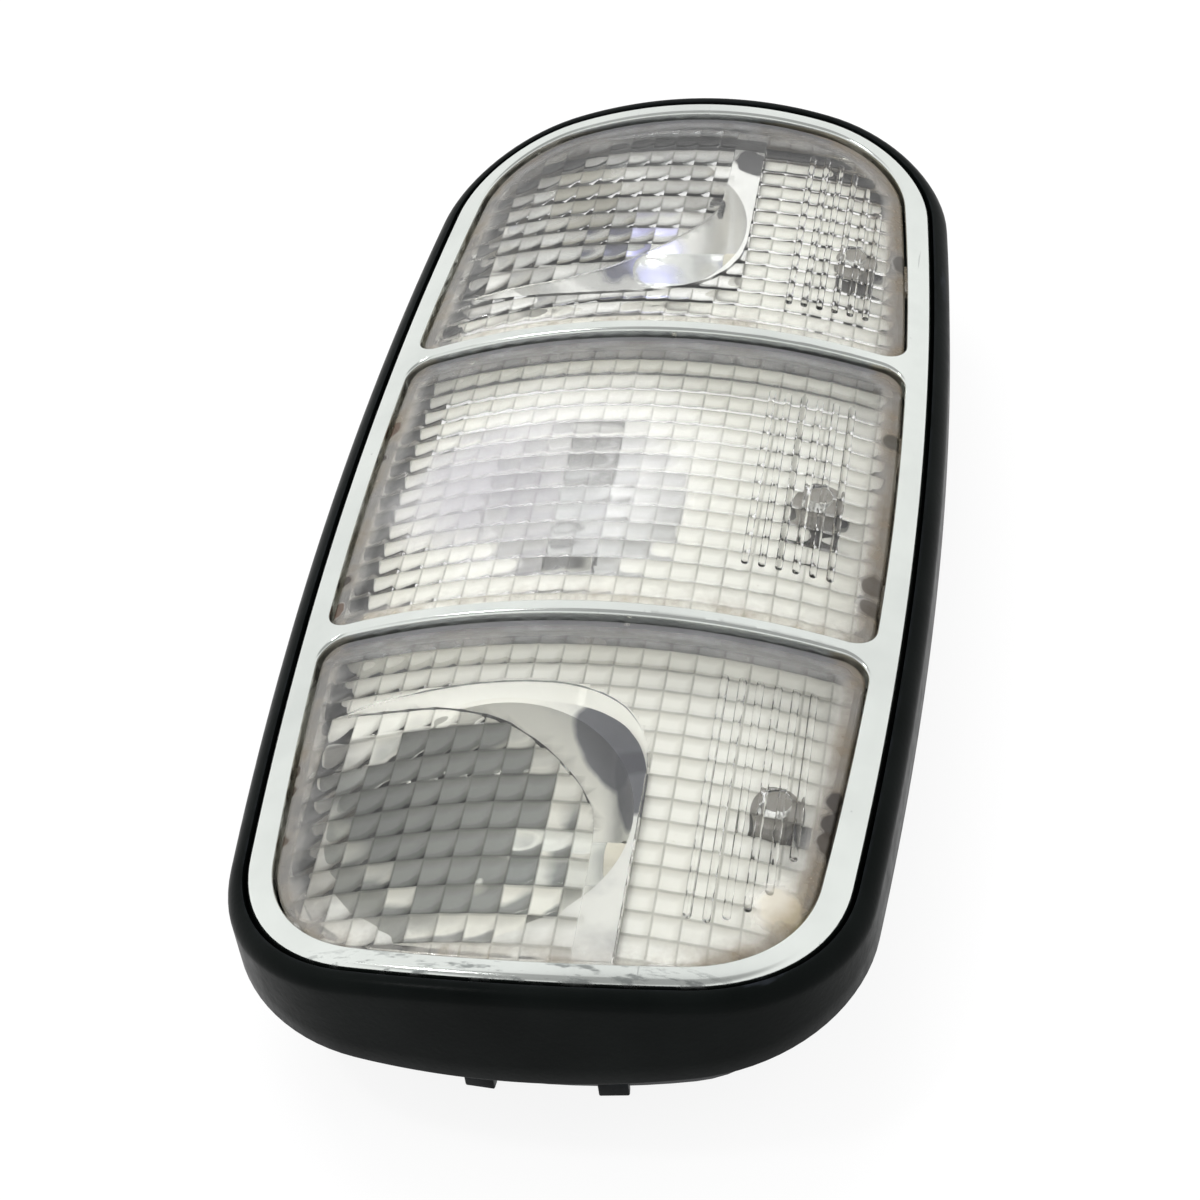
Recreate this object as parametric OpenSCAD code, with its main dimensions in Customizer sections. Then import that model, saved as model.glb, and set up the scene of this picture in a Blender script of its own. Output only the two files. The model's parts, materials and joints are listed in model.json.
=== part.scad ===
// Interior roof lamp with three rocker lenses in a chromed frame on a black base.
// x runs across the lamp, y along it towards the far end, z out of the lens face.
// The lamp lies on its rear cover, lenses up, and z = 0 is the cover's underside.

/* [Face] */
// Half width of the chromed frame
face_half_w = 37; // [36:0.5:39]
// Half length of the chromed frame
face_half_l = 82; // [80:0.5:86]
// Radius of the bowed long sides in plan
side_arc_r = 680; // [560:10:900]
// Radius of the rounded ends in plan
end_arc_r = 89; // [80:1:110]
// Corner radius in plan
corner_arc_r = 20.3; // [18:0.1:24]
// Height of the crest of the face above the roof seat
face_height = 16.2; // [15.8:0.1:20]
// Radius of the crown across the face
cross_crown_r = 89.6; // [86:0.2:120]
// Radius of the slight crown along the face
long_crown_r = 2200; // [1600:50:4000]

/* [Base] */
// Width of the black rim around the frame
rim_w = 2.5; // [2:0.1:4]
// Clearance between the frame and the rim
frame_gap = 0.45; // [0.2:0.05:0.6]
// Radius of the rounded rim edge
rim_round = 1.5; // [0.8:0.1:1.5]
// Depth of the rim's top below the frame's surface
rim_drop = 0.15; // [0:0.05:0.4]
// Width of the ledge that carries the frame
ledge_w = 1.4; // [1.2:0.1:1.6]
// Thickness of the base's floor
floor_t = 1.6; // [1.2:0.1:1.8]
// Depth of the rear box behind the roof seat
rear_depth = 13.3; // [13:0.1:18]
// Distance of the rear box's wall inside the frame's outline
rear_inset = 6.5; // [6:0.1:6.8]
// Thickness of the rear box's wall
rear_wall = 1.8; // [1.2:0.1:2]
// How far the seat on the roof lining reaches in from the frame's outline
seat_in = 2; // [1:0.5:2.5]
// Depth of the recess between the seat and the rear box
seat_step = 0.5; // [0.3:0.1:0.6]
// Width of a snap tab
tab_w = 3.5; // [2.5:0.1:5]
// Half distance between the two snap tabs
tab_half_pitch = 8.25; // [6:0.25:12]
// Thickness of a snap tab
tab_t = 1.2; // [1:0.1:1.4]
// Height of a snap tab
tab_h = 6.5; // [4:0.5:9]

/* [Frame] */
// Thickness of the frame
frame_t = 3.2; // [2.6:0.1:3.4]
// Rounding of the frame's outer edge
frame_round = 0.6; // [0.3:0.1:0.8]
// Clearance between the frame and the ledge below it
seat_gap = 0.1; // [0.08:0.01:0.2]
// Width of the frame's long sides
band_side = 3; // [2.6:0.1:3.4]
// Width of the frame's ends
band_end = 2.6; // [2.2:0.1:3.4]
// Width of a cross bar
bar_w = 2.1; // [1.6:0.1:3]
// Distance of a cross bar from the middle, as a share of the half length
bar_share = 0.33; // [0.32:0.005:0.34]
// Side radius of the windows in plan
window_side_r = 600; // [500:10:700]
// End radius of the windows in plan
window_end_r = 86; // [80:1:100]
// Outer corner radius of the end windows
window_corner_r = 16.5; // [14:0.1:19]
// Corner radius beside the bars
bar_corner_r = 3.3; // [2:0.1:5]
// Radius of a locating peg
peg_r = 0.5; // [0.4:0.05:0.6]
// Length of a locating peg
peg_l = 2.4; // [1.5:0.1:2.8]

/* [Lenses] */
// Clearance between a lens and its window
lens_gap = 0.35; // [0.3:0.05:0.6]
// Depth of the lenses below the frame's surface
lens_recess = 1; // [0.4:0.1:1.2]
// Thickness of a lens
lens_t = 2.2; // [1.8:0.1:2.4]
// Thickness of the lens's side walls
lens_wall = 1.6; // [1.2:0.1:1.8]
// Depth of the lens's side walls below the frame's surface
lens_skirt = 4.9; // [4.6:0.1:5.1]
// Pitch of the flutes inside a lens
flute_pitch = 3.05; // [2.6:0.05:4]
// Depth of the flutes
flute_h = 0.4; // [0.2:0.05:0.5]
// Width of a press rib
rib_w = 0.9; // [0.6:0.1:1.2]
// Height of a press rib
rib_h = 0.5; // [0.3:0.1:0.7]
// Distance between press ribs
rib_pitch = 2.03; // [1.6:0.01:2.2]
// Number of press ribs
rib_count = 6; // [4:1:6]
// Half length of the centre lens's ribs
rib_half_l = 16.5; // [12:0.5:19]
// Distance of an end lens's ribs from the cross bar
rib_bar_gap = 8.44; // [6:0.2:12]
// Distance of an end lens's ribs from the lamp's end
rib_end_gap = 11; // [10:0.5:16]
// Distance of the ribs from a lens's rounded corner
rib_margin = 5; // [4:0.5:7]
// Distance of the press pad from the middle line
pad_x = 22.3; // [20:0.1:23]
// Radius of a hinge ear
ear_r = 0.75; // [0.6:0.05:0.8]
// Length of a hinge ear
ear_l = 4; // [3:0.1:5]
// Distance of the centre lens's ears from the middle
ear_y = 14; // [10:0.5:18]
// Distance of an end lens's outer ear from the lamp's end
ear_end_gap = 25; // [22:0.5:28]
// Distance between the two ears of an end lens
ear_pitch = 11; // [9:0.5:17]
// Length of a catch under the frame
catch_l = 6; // [4:0.5:8]
// Reach of a catch under the frame
catch_w = 1.2; // [0.8:0.1:1.3]
// Press travel of a lens at its plunger
press_travel = 2.1; // [1.5:0.1:2.1]

/* [Light units] */
// Depth of the tray below the crest of the face
tray_drop = 8; // [7.8:0.1:8.2]
// Thickness of the tray
tray_t = 1.5; // [1.2:0.1:1.6]
// Distance of the tray's edge inside the frame's outline
tray_inset = 6; // [5.8:0.1:6.2]
// Thickness of the tray's outer wall
tray_wall = 1.2; // [1:0.1:1.4]
// Thickness of the walls below the cross bars
partition_t = 1.6; // [1.2:0.1:1.8]
// Inner radius of a reading bowl
cup_r = 18; // [17:0.1:18.1]
// Wall of the bowls and the dish
cup_t = 0.8; // [0.6:0.1:0.8]
// Distance of a bowl's middle from the lamp's end
cup_end_gap = 26.2; // [26:0.1:27]
// Offset of a bowl's middle to the left
cup_x = -9; // [-9.4:0.1:-8.6]
// Height of a bowl's middle above the floor
cup_h = 9.6; // [9.2:0.1:10.4]
// Inner radius of the dome dish
dish_r = 17.1; // [16.5:0.1:18]
// Offset of the dome dish to the left
dish_x = -6; // [-8:0.1:-5]
// Depth of the dome dish below the tray
dish_depth = 8; // [6.5:0.1:8.5]
// Radius of a reading bulb
bulb_r = 2.5; // [2:0.1:2.8]
// Length of a reading bulb's glass
bulb_l = 13; // [10:0.5:15]
// Depth of a reading bulb below its bowl's middle
bulb_drop = 9.4; // [9:0.1:9.8]
// Radius of a bulb holder
holder_r = 3.2; // [3:0.1:3.3]
// Radius of the festoon bulb's glass
festoon_r = 3.5; // [3.1:0.1:3.6]
// Length of the festoon bulb's glass
festoon_l = 14; // [12:0.5:14.5]
// Radius of a festoon cap
cap_r = 3; // [2.6:0.1:3.1]
// Length of a festoon cap
cap_l = 5; // [4:0.1:5]
// Height of the festoon bulb above its dish
festoon_lift = 1.8; // [1.7:0.1:2.2]

/* [Switches and board] */
// Distance of the plungers from the window's edge beside the end plungers
plunger_edge_gap = 7.63; // [7.43:0.1:8.03]
// Distance of the end plungers from the lamp's end
plunger_end_gap = 31; // [30:0.5:33]
// Radius of a plunger's head
head_r = 3.1; // [2.6:0.1:3.2]
// Thickness of a plunger's head
head_t = 1.6; // [1.2:0.1:1.8]
// Radius of a plunger's stem
stem_r = 1.8; // [1.4:0.1:2]
// Side of a switch body
switch_w = 8; // [7:0.1:8.2]
// Height of a switch body
switch_h = 4.4; // [3.6:0.1:4.6]
// Width of the circuit board
board_w = 14.2; // [13.6:0.1:14.4]
// Distance of the circuit board's ends from the lamp's ends
board_end_gap = 22; // [21:0.5:23]
// Thickness of the circuit board
board_t = 1.6; // [1:0.1:1.8]
// Height of the board's pillars
pillar_h = 4.6; // [4:0.1:4.8]
// Radius of a board pillar
pillar_r = 2; // [1.6:0.1:2.4]
// Radius of the pin that locates the board
pin_r = 1; // [0.8:0.1:1.2]

/* [Rear] */
// Thickness of the rear cover
cover_t = 2.3; // [2:0.1:2.6]
// Clearance of the rear cover inside the box's outer face
cover_gap = 0.8; // [0.6:0.1:1]
// Radius of a screw boss
boss_r = 3; // [2.6:0.1:3.2]
// Radius of a screw's head
screw_head_r = 2.8; // [2.4:0.1:3]
// Thickness of a screw's head
screw_head_t = 1; // [0.8:0.1:1.1]
// Radius of a screw's shank
screw_r = 1.3; // [1:0.1:1.4]
// Length of a screw's shank
screw_l = 9; // [7:0.5:10]
// Width of the connector
plug_w = 15; // [14.5:0.5:16]
// Height of the connector
plug_h = 8; // [7.5:0.1:8.4]
// Length of the connector
plug_l = 7.3; // [6.8:0.1:8.2]
// Distance of the connector's mouth from the end of the face
plug_end_gap = 4.3; // [4.2:0.1:4.6]
// Wall of the connector
plug_wall = 1; // [0.8:0.1:1.2]
// Distance of the connector from the middle line
plug_x = 11; // [10:0.5:11.5]
// Width of a connector blade
blade_w = 0.8; // [0.6:0.1:1.2]
// Height of a connector blade
blade_h = 2.8; // [2:0.1:3.2]
// Distance between connector blades
blade_pitch = 4.4; // [4:0.1:4.6]
// Width of a roof clip
clip_w = 12; // [8:0.5:16]
// Thickness of a roof clip's steel
clip_t = 0.5; // [0.4:0.05:0.6]
// Reach of a roof clip's spring
clip_reach = 3.2; // [2.8:0.1:3.6]

/* [Hidden] */

$fn = 72;
FAR = 1;
CENTRE = 0;
NEAR = -1;
// Running fit, clearance of loose neighbours, and the surplus of a cut
slip = 0.05;
free = 0.3;
over = 1;
// Steps of the outline's arcs and of the crowned faces
side_steps = 4;
corner_steps = 9;
end_steps = 6;
crown_steps = 24;
flute_steps = 12;
long_steps = 8;
edge_step = 30;
bowl_fn = 120;

seat_z = rear_depth;
bar_y = face_half_l * bar_share;
cup_y = face_half_l - cup_end_gap;
plunger_y = face_half_l - plunger_end_gap;
ear_far = face_half_l - ear_end_gap;
ear_near = ear_far - ear_pitch;
rib_start = bar_y + rib_bar_gap;
rib_stop = face_half_l - rib_end_gap;
board_l = 2 * (face_half_l - board_end_gap);
crest_z = seat_z + face_height;
floor_z = seat_z + floor_t;
sky_z = crest_z + over;
ledge_drop = frame_t + seat_gap;
board_z = cover_t + pillar_h;
switch_z = board_z + board_t;
crown_axis_z = crest_z - cross_crown_r;
tray_r = cross_crown_r - tray_drop;
tray_under_r = tray_r - tray_t;
cup_z = floor_z + cup_h;
dish_z = crest_z - tray_drop - dish_depth + dish_r;
ear_drop = frame_t + free + ear_r;
catch_drop = frame_t + free;
catch_t = 1.2;
stem_low = switch_z + press_travel + free;
box_inset = rear_inset + rear_wall;

// Height of the crowned face over a point of the plan
function face_z(x, y) = crown_axis_z + sqrt(pow(cross_crown_r, 2) - x * x) - y * y / (2 * long_crown_r);

// Centre of the corner arc that touches a side arc and an end arc
function corner_centre(a, b, rs, re, rc) =
    let (sx = a - rs, ey = b - re, r1 = rs - rc, r2 = re - rc, d = norm([sx, ey]))
    let (m = (r1 * r1 - r2 * r2 + d * d) / (2 * d), h = sqrt(max(r1 * r1 - m * m, 0)))
    [sx - m * sx / d - h * ey / d, m * ey / d - h * sx / d];

// Points along one arc, without its last point
function arc_points(c, r, a0, a1, n) =
    [for (k = [0 : n - 1]) let (t = a0 + (a1 - a0) * k / n) [c.x + r * cos(t), c.y + r * sin(t)]];

// One quarter of a barrel outline, from the side's middle to just before the end's middle
function quarter(a, b, rs, re, rc) =
    let (c = corner_centre(a, b, rs, re, rc), t1 = atan2(c.y, c.x - (a - rs)), t2 = atan2(c.y - (b - re), c.x))
    concat(arc_points([a - rs, 0], rs, 0, t1, side_steps), arc_points(c, rc, t1, t2, corner_steps),
        arc_points([0, b - re], re, t2, 90, end_steps));

// Whole barrel outline, counter-clockwise
function barrel(a, b, rs, re, rc) =
    let (q = quarter(a, b, rs, re, rc), n = len(q))
    concat(q, [[0, b]], [for (k = [n - 1 : -1 : 1]) [-q[k].x, q[k].y]],
        [for (p = q) -p], [[0, -b]], [for (k = [n - 1 : -1 : 1]) [q[k].x, -q[k].y]]);

// Outline of the frame, grown or shrunk by an offset
function face_outline(grow) = barrel(face_half_w + grow, face_half_l + grow, side_arc_r + grow,
    end_arc_r + grow, corner_arc_r + grow);

// Outline of all three windows together, shrunk by an inset
window_half_w = face_half_w - band_side;
window_half_l = face_half_l - band_end;
window_corner = corner_centre(window_half_w, window_half_l, window_side_r, window_end_r, window_corner_r);
function window_outline(inset) = barrel(window_half_w - inset, window_half_l - inset,
    window_side_r - inset, window_end_r - inset, window_corner_r - inset);

// Half width of the frame's outline and of the windows at a distance along the lamp
function bowed(half, r, y) = half - r + sqrt(r * r - y * y);
function face_half_at(y) = bowed(face_half_w, side_arc_r, y);
function window_half_at(y) = bowed(window_half_w, window_side_r, y);
plunger_x = window_half_at(plunger_y) - plunger_edge_gap;

// Straight edges of a window, as distances along the lamp towards its own end
function window_low(side) = side == CENTRE ? -bar_y + bar_w / 2 : bar_y + bar_w / 2;
function window_high(side) = side == CENTRE ? bar_y - bar_w / 2 : window_half_l;

// Place and height of the plunger below each lens
function plunger_at(side) = [plunger_x, side * plunger_y];
function plate_low(side) = face_z(plunger_x + head_r, side * plunger_y) - lens_recess - lens_t - flute_h;
function plunger_top(side) = plate_low(side) - free;

// Hinge ears: their places along the lamp and the axis they turn about
function ear_places(side) = side == CENTRE ? [-ear_y, ear_y] : [side * ear_near, side * ear_far];
function hinge_x(side) = lens_gap - ear_r - window_half_at(side == CENTRE ? 0 : ear_far);
function hinge_z(side) = face_z(hinge_x(side), side * ear_far) - ear_drop;
function catch_places(side) = side == CENTRE ? [-ear_y, ear_y] : [side * plunger_y];

// Triangles between two rings of a stack
function band_faces(n, i, j) = [for (k = [0 : n - 1]) let (l = (k + 1) % n)
    each [[i * n + k, j * n + l, i * n + l], [i * n + k, j * n + k, j * n + l]]];

// Section swept around the frame's outline: each row is offset, height, and whether the height
// is a depth below the crowned face
module swept_section(rows) {
    n = len(face_outline(0));
    points = [for (r = rows) let (o = face_outline(r[0]))
        each [for (p = o) [p.x, p.y, r[2] ? face_z(p.x, p.y) - r[1] : r[1]]]];
    faces = [for (i = [0 : len(rows) - 1]) each band_faces(n, i, (i + 1) % len(rows))];
    polyhedron(points = points, faces = faces, convexity = 8);
}

// Solid whose top lies a drop below the crowned face, with a wave along the lamp for flutes
module crown_block(y0, y1, drop, rows = 2, wave = 0, nx = crown_steps) {
    half = face_half_w + rim_w + over;
    m = nx + 1;
    top = [for (j = [0 : rows]) let (y = y0 + (y1 - y0) * j / rows)
        each [for (i = [0 : nx]) let (x = -half + 2 * half * i / nx)
            [x, y, face_z(x, y) - drop - (j % 2) * wave]]];
    base = [[-half, y0, -over], [half, y0, -over], [half, y1, -over], [-half, y1, -over]];
    b = len(top);
    grid = [for (j = [0 : rows - 1]) each [for (i = [0 : nx - 1]) let (p = j * m + i)
        each [[p, p + m, p + 1], [p + 1, p + m, p + m + 1]]]];
    front = [[for (i = [0 : nx]) i, b + 1, b]];
    back = [[for (i = [nx : -1 : 0]) rows * m + i, b + 3, b + 2]];
    left = [[for (j = [rows : -1 : 0]) j * m, b, b + 3]];
    right = [[for (j = [0 : rows]) j * m + nx, b + 2, b + 1]];
    polyhedron(points = concat(top, base), faces = concat(grid, front, back, left, right,
        [[b, b + 1, b + 2, b + 3]]), convexity = 8);
}

module whole_block(drop) {
    crown_block(-face_half_l - over, face_half_l + over, drop, long_steps);
}

module prism(points, z0, z1) {
    translate([0, 0, z0]) linear_extrude(z1 - z0) polygon(points);
}

// Plan of one window, shrunk by an inset
module window_plan(side, inset, r) {
    low = window_low(side) + inset;
    high = side == CENTRE ? window_high(side) - inset : window_half_l + r;
    wide = 2 * (window_half_at(low) - inset);
    intersection() {
        polygon(window_outline(inset));
        mirror([0, side == NEAR ? 1 : 0]) translate([0, (low + high) / 2]) union() {
            square([wide + 2 * over, high - low - 2 * r], center = true);
            square([wide - 2 * r, high - low], center = true);
            for (sx = [-1, 1]) for (sy = [-1, 1])
                translate([sx * (wide / 2 - r), sy * ((high - low) / 2 - r)]) circle(r = r);
        }
    }
}

module window_prism(side, inset) {
    linear_extrude(sky_z) window_plan(side, inset, max(bar_corner_r - inset, lens_gap));
}

// Cylinder along y from one distance to another
module rod_y(r, x, z, y0, y1) {
    translate([x, y0, z]) rotate([-90, 0, 0]) cylinder(r = r, h = y1 - y0);
}

// Cylinder about the crown's axis, which arches the tray and its bowls
module arch(r) {
    rod_y(r, 0, crown_axis_z, -face_half_l, face_half_l);
}

boss_left = -22;
boss_right = 7;
boss_places = [for (x = [boss_left, boss_right]) for (s = [-1, 1]) [x, s * bar_y]];
peg_x = face_half_at(bar_y) - ledge_w / 2;
peg_low = face_z(peg_x, bar_y) - frame_t - peg_l;
plug_low = cover_t + plug_wall + free;
plug_y1 = face_half_l - plug_end_gap;
plug_y0 = plug_y1 - plug_l;

// Small hook that snaps behind the roof panel's edge
module tab(s) {
    turn = asin(tab_half_pitch / end_arc_r) * s;
    reach = end_arc_r - rear_inset;
    translate([0, end_arc_r - face_half_l, 0]) rotate([0, 0, turn])
        translate([-tab_w / 2, -reach - tab_t / 2, 0]) cube([tab_w, tab_t, tab_h]);
}

// Block below a hinge ear
module cradle(side, y) {
    top = hinge_z(side) - ear_r - free;
    start = ledge_w / 2 - face_half_at(y);
    translate([start, y - ear_l / 2, floor_z - floor_t / 2])
        cube([hinge_x(side) - start + ear_r, ear_l, top - floor_z + floor_t / 2]);
}

module base_housing() color("#24272a") difference() {
    union() {
        swept_section([
            [rim_w, seat_z, false],
            [rim_w, rim_drop + rim_round, true],
            for (a = [edge_step : edge_step : 90])
                [rim_w - rim_round * (1 - cos(a)), rim_drop + rim_round * (1 - sin(a)), true],
            [frame_gap, rim_drop, true],
            [frame_gap, ledge_drop, true],
            [-ledge_w, ledge_drop, true],
            [-ledge_w, floor_z, false],
            [-box_inset, floor_z, false],
            [-box_inset, cover_t, false],
            [-rear_inset, cover_t, false],
            [-rear_inset, seat_z + seat_step, false],
            [-seat_in, seat_z + seat_step, false],
            [-seat_in, seat_z, false]]);
        for (s = [-1, 1]) tab(s);
        for (side = [NEAR, CENTRE, FAR]) for (y = ear_places(side)) cradle(side, y);
    }
    for (sx = [-1, 1]) for (sy = [-1, 1])
        translate([sx * peg_x, sy * bar_y, peg_low - free]) cylinder(r = peg_r + slip, h = peg_l + over);
    translate([plug_x - plug_w / 2 - slip, plug_y0, plug_low - slip])
        cube([plug_w + 2 * slip, plug_l, plug_h + 2 * slip]);
}

// Cutter that rounds the frame's outer edge
module edge_cutter() {
    r = frame_round;
    swept_section([[over / 2, r, true], [over / 2, -over, true], [-r, -over, true],
        for (a = [90 : -edge_step : edge_step]) [r * cos(a) - r, r - r * sin(a), true],
        [0, r, true]]);
}

module chrome_frame() color("#d5dad8") {
    difference() {
        intersection() {
            prism(face_outline(0), seat_z, sky_z);
            whole_block(0);
        }
        whole_block(frame_t);
        for (side = [NEAR, CENTRE, FAR]) window_prism(side, 0);
        edge_cutter();
    }
    for (sx = [-1, 1]) for (sy = [-1, 1])
        translate([sx * peg_x, sy * bar_y, peg_low]) cylinder(r = peg_r, h = peg_l + frame_t / 2);
}

// Press ribs: those of an end lens stop short of its rounded corner
function rib_x(k) = pad_x + (k - (rib_count - 1) / 2) * rib_pitch;
function rib_low(side) = side == CENTRE ? -rib_half_l : rib_start;
function rib_high(side, k) = side == CENTRE ? rib_half_l
    : min(rib_stop, window_corner.y + sqrt(max(pow(window_corner_r - rib_margin, 2)
        - pow(max(rib_x(k) - window_corner.x, 0), 2), 0)));

module ribs(side) {
    intersection() {
        mirror([0, side == NEAR ? 1 : 0, 0]) for (k = [0 : rib_count - 1]) {
            y0 = rib_low(side) + rib_w / 2;
            y1 = rib_high(side, k) - rib_w / 2;
            translate([rib_x(k), 0, 0]) {
                translate([-rib_w / 2, y0, 0]) cube([rib_w, y1 - y0, sky_z]);
                for (y = [y0, y1]) translate([0, y, 0]) cylinder(r = rib_w / 2, h = sky_z, $fn = 12);
            }
        }
        difference() {
            crown_block(-face_half_l, face_half_l, lens_recess - rib_h, long_steps);
            crown_block(-face_half_l - over, face_half_l + over, lens_recess + lens_t / 2);
        }
    }
}

// Catch that holds a lens down below the frame
module catch(y) {
    x = window_half_at(y) - lens_gap;
    z = face_z(x + catch_w, y) - catch_drop - catch_t;
    translate([x - lens_wall / 2, y - catch_l / 2, z]) cube([lens_wall / 2 + catch_w, catch_l, catch_t]);
}

module ear(side, y) {
    x = hinge_x(side);
    z = hinge_z(side);
    root_x = lens_gap + lens_wall / 2 - window_half_at(y);
    rod_y(ear_r, x, z, y - ear_l / 2, y + ear_l / 2);
    translate([x, y - ear_l / 2, z - ear_r / 2]) cube([root_x - x, ear_l, ear_r]);
}

// Rocker lens: a fluted plate with a skirt, press ribs, hinge ears, catches and a push pad
module lens(side) {
    flutes = round((window_high(side) - window_low(side)) / flute_pitch);
    y0 = side == NEAR ? -window_high(side) : window_low(side);
    y1 = side == NEAR ? -window_low(side) : window_high(side);
    difference() {
        intersection() {
            window_prism(side, lens_gap);
            crown_block(y0 - over, y1 + over, lens_recess, long_steps);
        }
        crown_block(y0 - 2 * over, y1 + 2 * over, lens_skirt);
        intersection() {
            window_prism(side, lens_gap + lens_wall);
            crown_block(y0, y1, lens_recess + lens_t, 2 * flutes, flute_h, flute_steps);
        }
    }
    ribs(side);
    for (y = ear_places(side)) ear(side, y);
    for (y = catch_places(side)) catch(y);
    translate([plunger_at(side).x, plunger_at(side).y, plate_low(side)])
        cylinder(r = stem_r, h = face_z(plunger_x, side * plunger_y) - lens_recess - lens_t / 2 - plate_low(side));
}

module lens_far() color("#dfe3da", 0.5) lens(FAR);
module lens_centre() color("#dfe3da", 0.5) lens(CENTRE);
module lens_near() color("#dfe3da", 0.5) lens(NEAR);

// Tip of a festoon cap, and the opening around the cap and its clip
tip_l = 1.6;
tip_r = 1.2;
slot_half_w = cap_r + 2 * free;
slot_y0 = festoon_l / 2 - free;
slot_y1 = festoon_l / 2 + cap_l + tip_l + over;

module cap_slots() {
    for (s = [-1, 1]) translate([dish_x - slot_half_w, s > 0 ? slot_y0 : -slot_y1, seat_z - cap_r])
        cube([2 * slot_half_w, slot_y1 - slot_y0, face_height]);
}

module light_tray() color("#e9e6d8") difference() {
    union() {
        difference() {
            intersection() {
                prism(face_outline(-tray_inset), floor_z, sky_z);
                arch(tray_r);
            }
            intersection() {
                prism(face_outline(-tray_inset - tray_wall), seat_z, sky_z);
                arch(tray_under_r);
            }
        }
        intersection() {
            for (s = [-1, 1]) translate([-face_half_w, s * bar_y - partition_t / 2, floor_z + over / 2])
                cube([2 * face_half_w, partition_t, face_height]);
            arch(cross_crown_r - frame_t - 2 * free);
            prism(face_outline(-tray_inset), floor_z, sky_z);
        }
        for (p = boss_places) translate([p.x, p.y, cover_t])
            cylinder(r = boss_r, h = floor_z + over - cover_t);
    }
    for (s = [-1, 1]) translate([cup_x, s * cup_y, cup_z]) sphere(r = cup_r + cup_t / 2, $fn = bowl_fn);
    translate([dish_x, 0, dish_z]) sphere(r = dish_r + cup_t / 2, $fn = bowl_fn);
    for (side = [NEAR, CENTRE, FAR]) translate(plunger_at(side)) cylinder(r = head_r + free, h = sky_z);
    for (p = boss_places) translate([p.x, p.y, cover_t - over]) cylinder(r = screw_r + slip, h = screw_l + over);
    cap_slots();
}

bulb_z = cup_z - bulb_drop;
bulb_base_x = cup_x + sqrt(pow(cup_r, 2) - pow(bulb_drop, 2)) - cup_t - free;
neck_l = 5;
holder_l = 4.6;

module cup(s) {
    difference() {
        intersection() {
            translate([cup_x, s * cup_y, cup_z]) difference() {
                sphere(r = cup_r + cup_t, $fn = bowl_fn);
                sphere(r = cup_r, $fn = bowl_fn);
            }
            arch(tray_under_r - slip);
        }
        translate([cup_x, s * cup_y, bulb_z]) rotate([0, 90, 0])
            cylinder(r = bulb_r + free, h = cup_r + cup_t + over);
    }
}

module cup_far() color("#c9cdd0") cup(FAR);
module cup_near() color("#c9cdd0") cup(NEAR);

module dish_centre() color("#c9cdd0") difference() {
    intersection() {
        translate([dish_x, 0, dish_z]) difference() {
            sphere(r = dish_r + cup_t, $fn = bowl_fn);
            sphere(r = dish_r, $fn = bowl_fn);
        }
        arch(tray_under_r - slip);
    }
    cap_slots();
}

// Plunger with its head below the lens and its stem in the switch
module plunger(side) {
    top = plunger_top(side);
    translate([plunger_at(side).x, plunger_at(side).y, 0]) {
        translate([0, 0, top - head_t]) cylinder(r = head_r, h = head_t);
        translate([0, 0, stem_low]) cylinder(r = stem_r, h = top - stem_low - head_t / 2);
    }
}

module plunger_far() color("#3b3d40") plunger(FAR);
module plunger_centre() color("#3b3d40") plunger(CENTRE);
module plunger_near() color("#3b3d40") plunger(NEAR);

module bulb(s) {
    translate([bulb_base_x, s * cup_y, bulb_z]) rotate([0, -90, 0]) rotate_extrude() {
        square([bulb_r, bulb_l - bulb_r]);
        translate([0, bulb_l - bulb_r]) intersection() {
            circle(r = bulb_r);
            square(bulb_r);
        }
    }
}

module bulb_far() color("#eef2f4", 0.6) bulb(FAR);
module bulb_near() color("#eef2f4", 0.6) bulb(NEAR);

festoon_z = dish_z - dish_r + festoon_r + festoon_lift;

module bulb_centre() color("#eef2f4", 0.6) {
    rod_y(festoon_r, dish_x, festoon_z, -festoon_l / 2, festoon_l / 2);
    rod_y(cap_r, dish_x, festoon_z, -festoon_l / 2 - cap_l, festoon_l / 2 + cap_l);
    rod_y(tip_r, dish_x, festoon_z, -festoon_l / 2 - cap_l - tip_l, festoon_l / 2 + cap_l + tip_l);
}

// Spring strips that hold the festoon bulb by its tips
module festoon_clips() color("#b79a5a") for (s = [-1, 1]) {
    y = festoon_l / 2 + cap_l + slip;
    mirror([0, s < 0 ? 1 : 0, 0]) difference() {
        union() {
            translate([dish_x - cap_r, y, cover_t]) cube([2 * cap_r, clip_t, festoon_z + cap_r - cover_t]);
            translate([dish_x - cap_r, y, cover_t]) cube([2 * cap_r, cap_l, clip_t]);
        }
        rod_y(tip_r + slip, dish_x, festoon_z, y - over, y + tip_l + over);
    }
}

board_x0 = boss_right + boss_r + over;
board_x1 = board_x0 + board_w;
pillar_places = [for (s = [-1, 1]) each [[board_x0 + pillar_r, s * (bar_y + 2 * boss_r)],
    [board_x1 - pillar_r, s * ear_y]]];

// Side socket of a reading bulb, standing on the board
module bulb_holder(s) {
    start = bulb_base_x + slip;
    translate([0, s * cup_y, 0]) {
        translate([start, 0, bulb_z]) rotate([0, 90, 0]) cylinder(r = bulb_r, h = neck_l + over);
        translate([start + neck_l, 0, bulb_z]) rotate([0, 90, 0]) cylinder(r = holder_r, h = holder_l);
        translate([board_x0 + free, -holder_r, switch_z])
            cube([start + neck_l + holder_l - board_x0 - free, 2 * holder_r, bulb_z - switch_z]);
    }
}

module bulb_holder_far() color("#d8d4c4") bulb_holder(FAR);
module bulb_holder_near() color("#d8d4c4") bulb_holder(NEAR);

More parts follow.
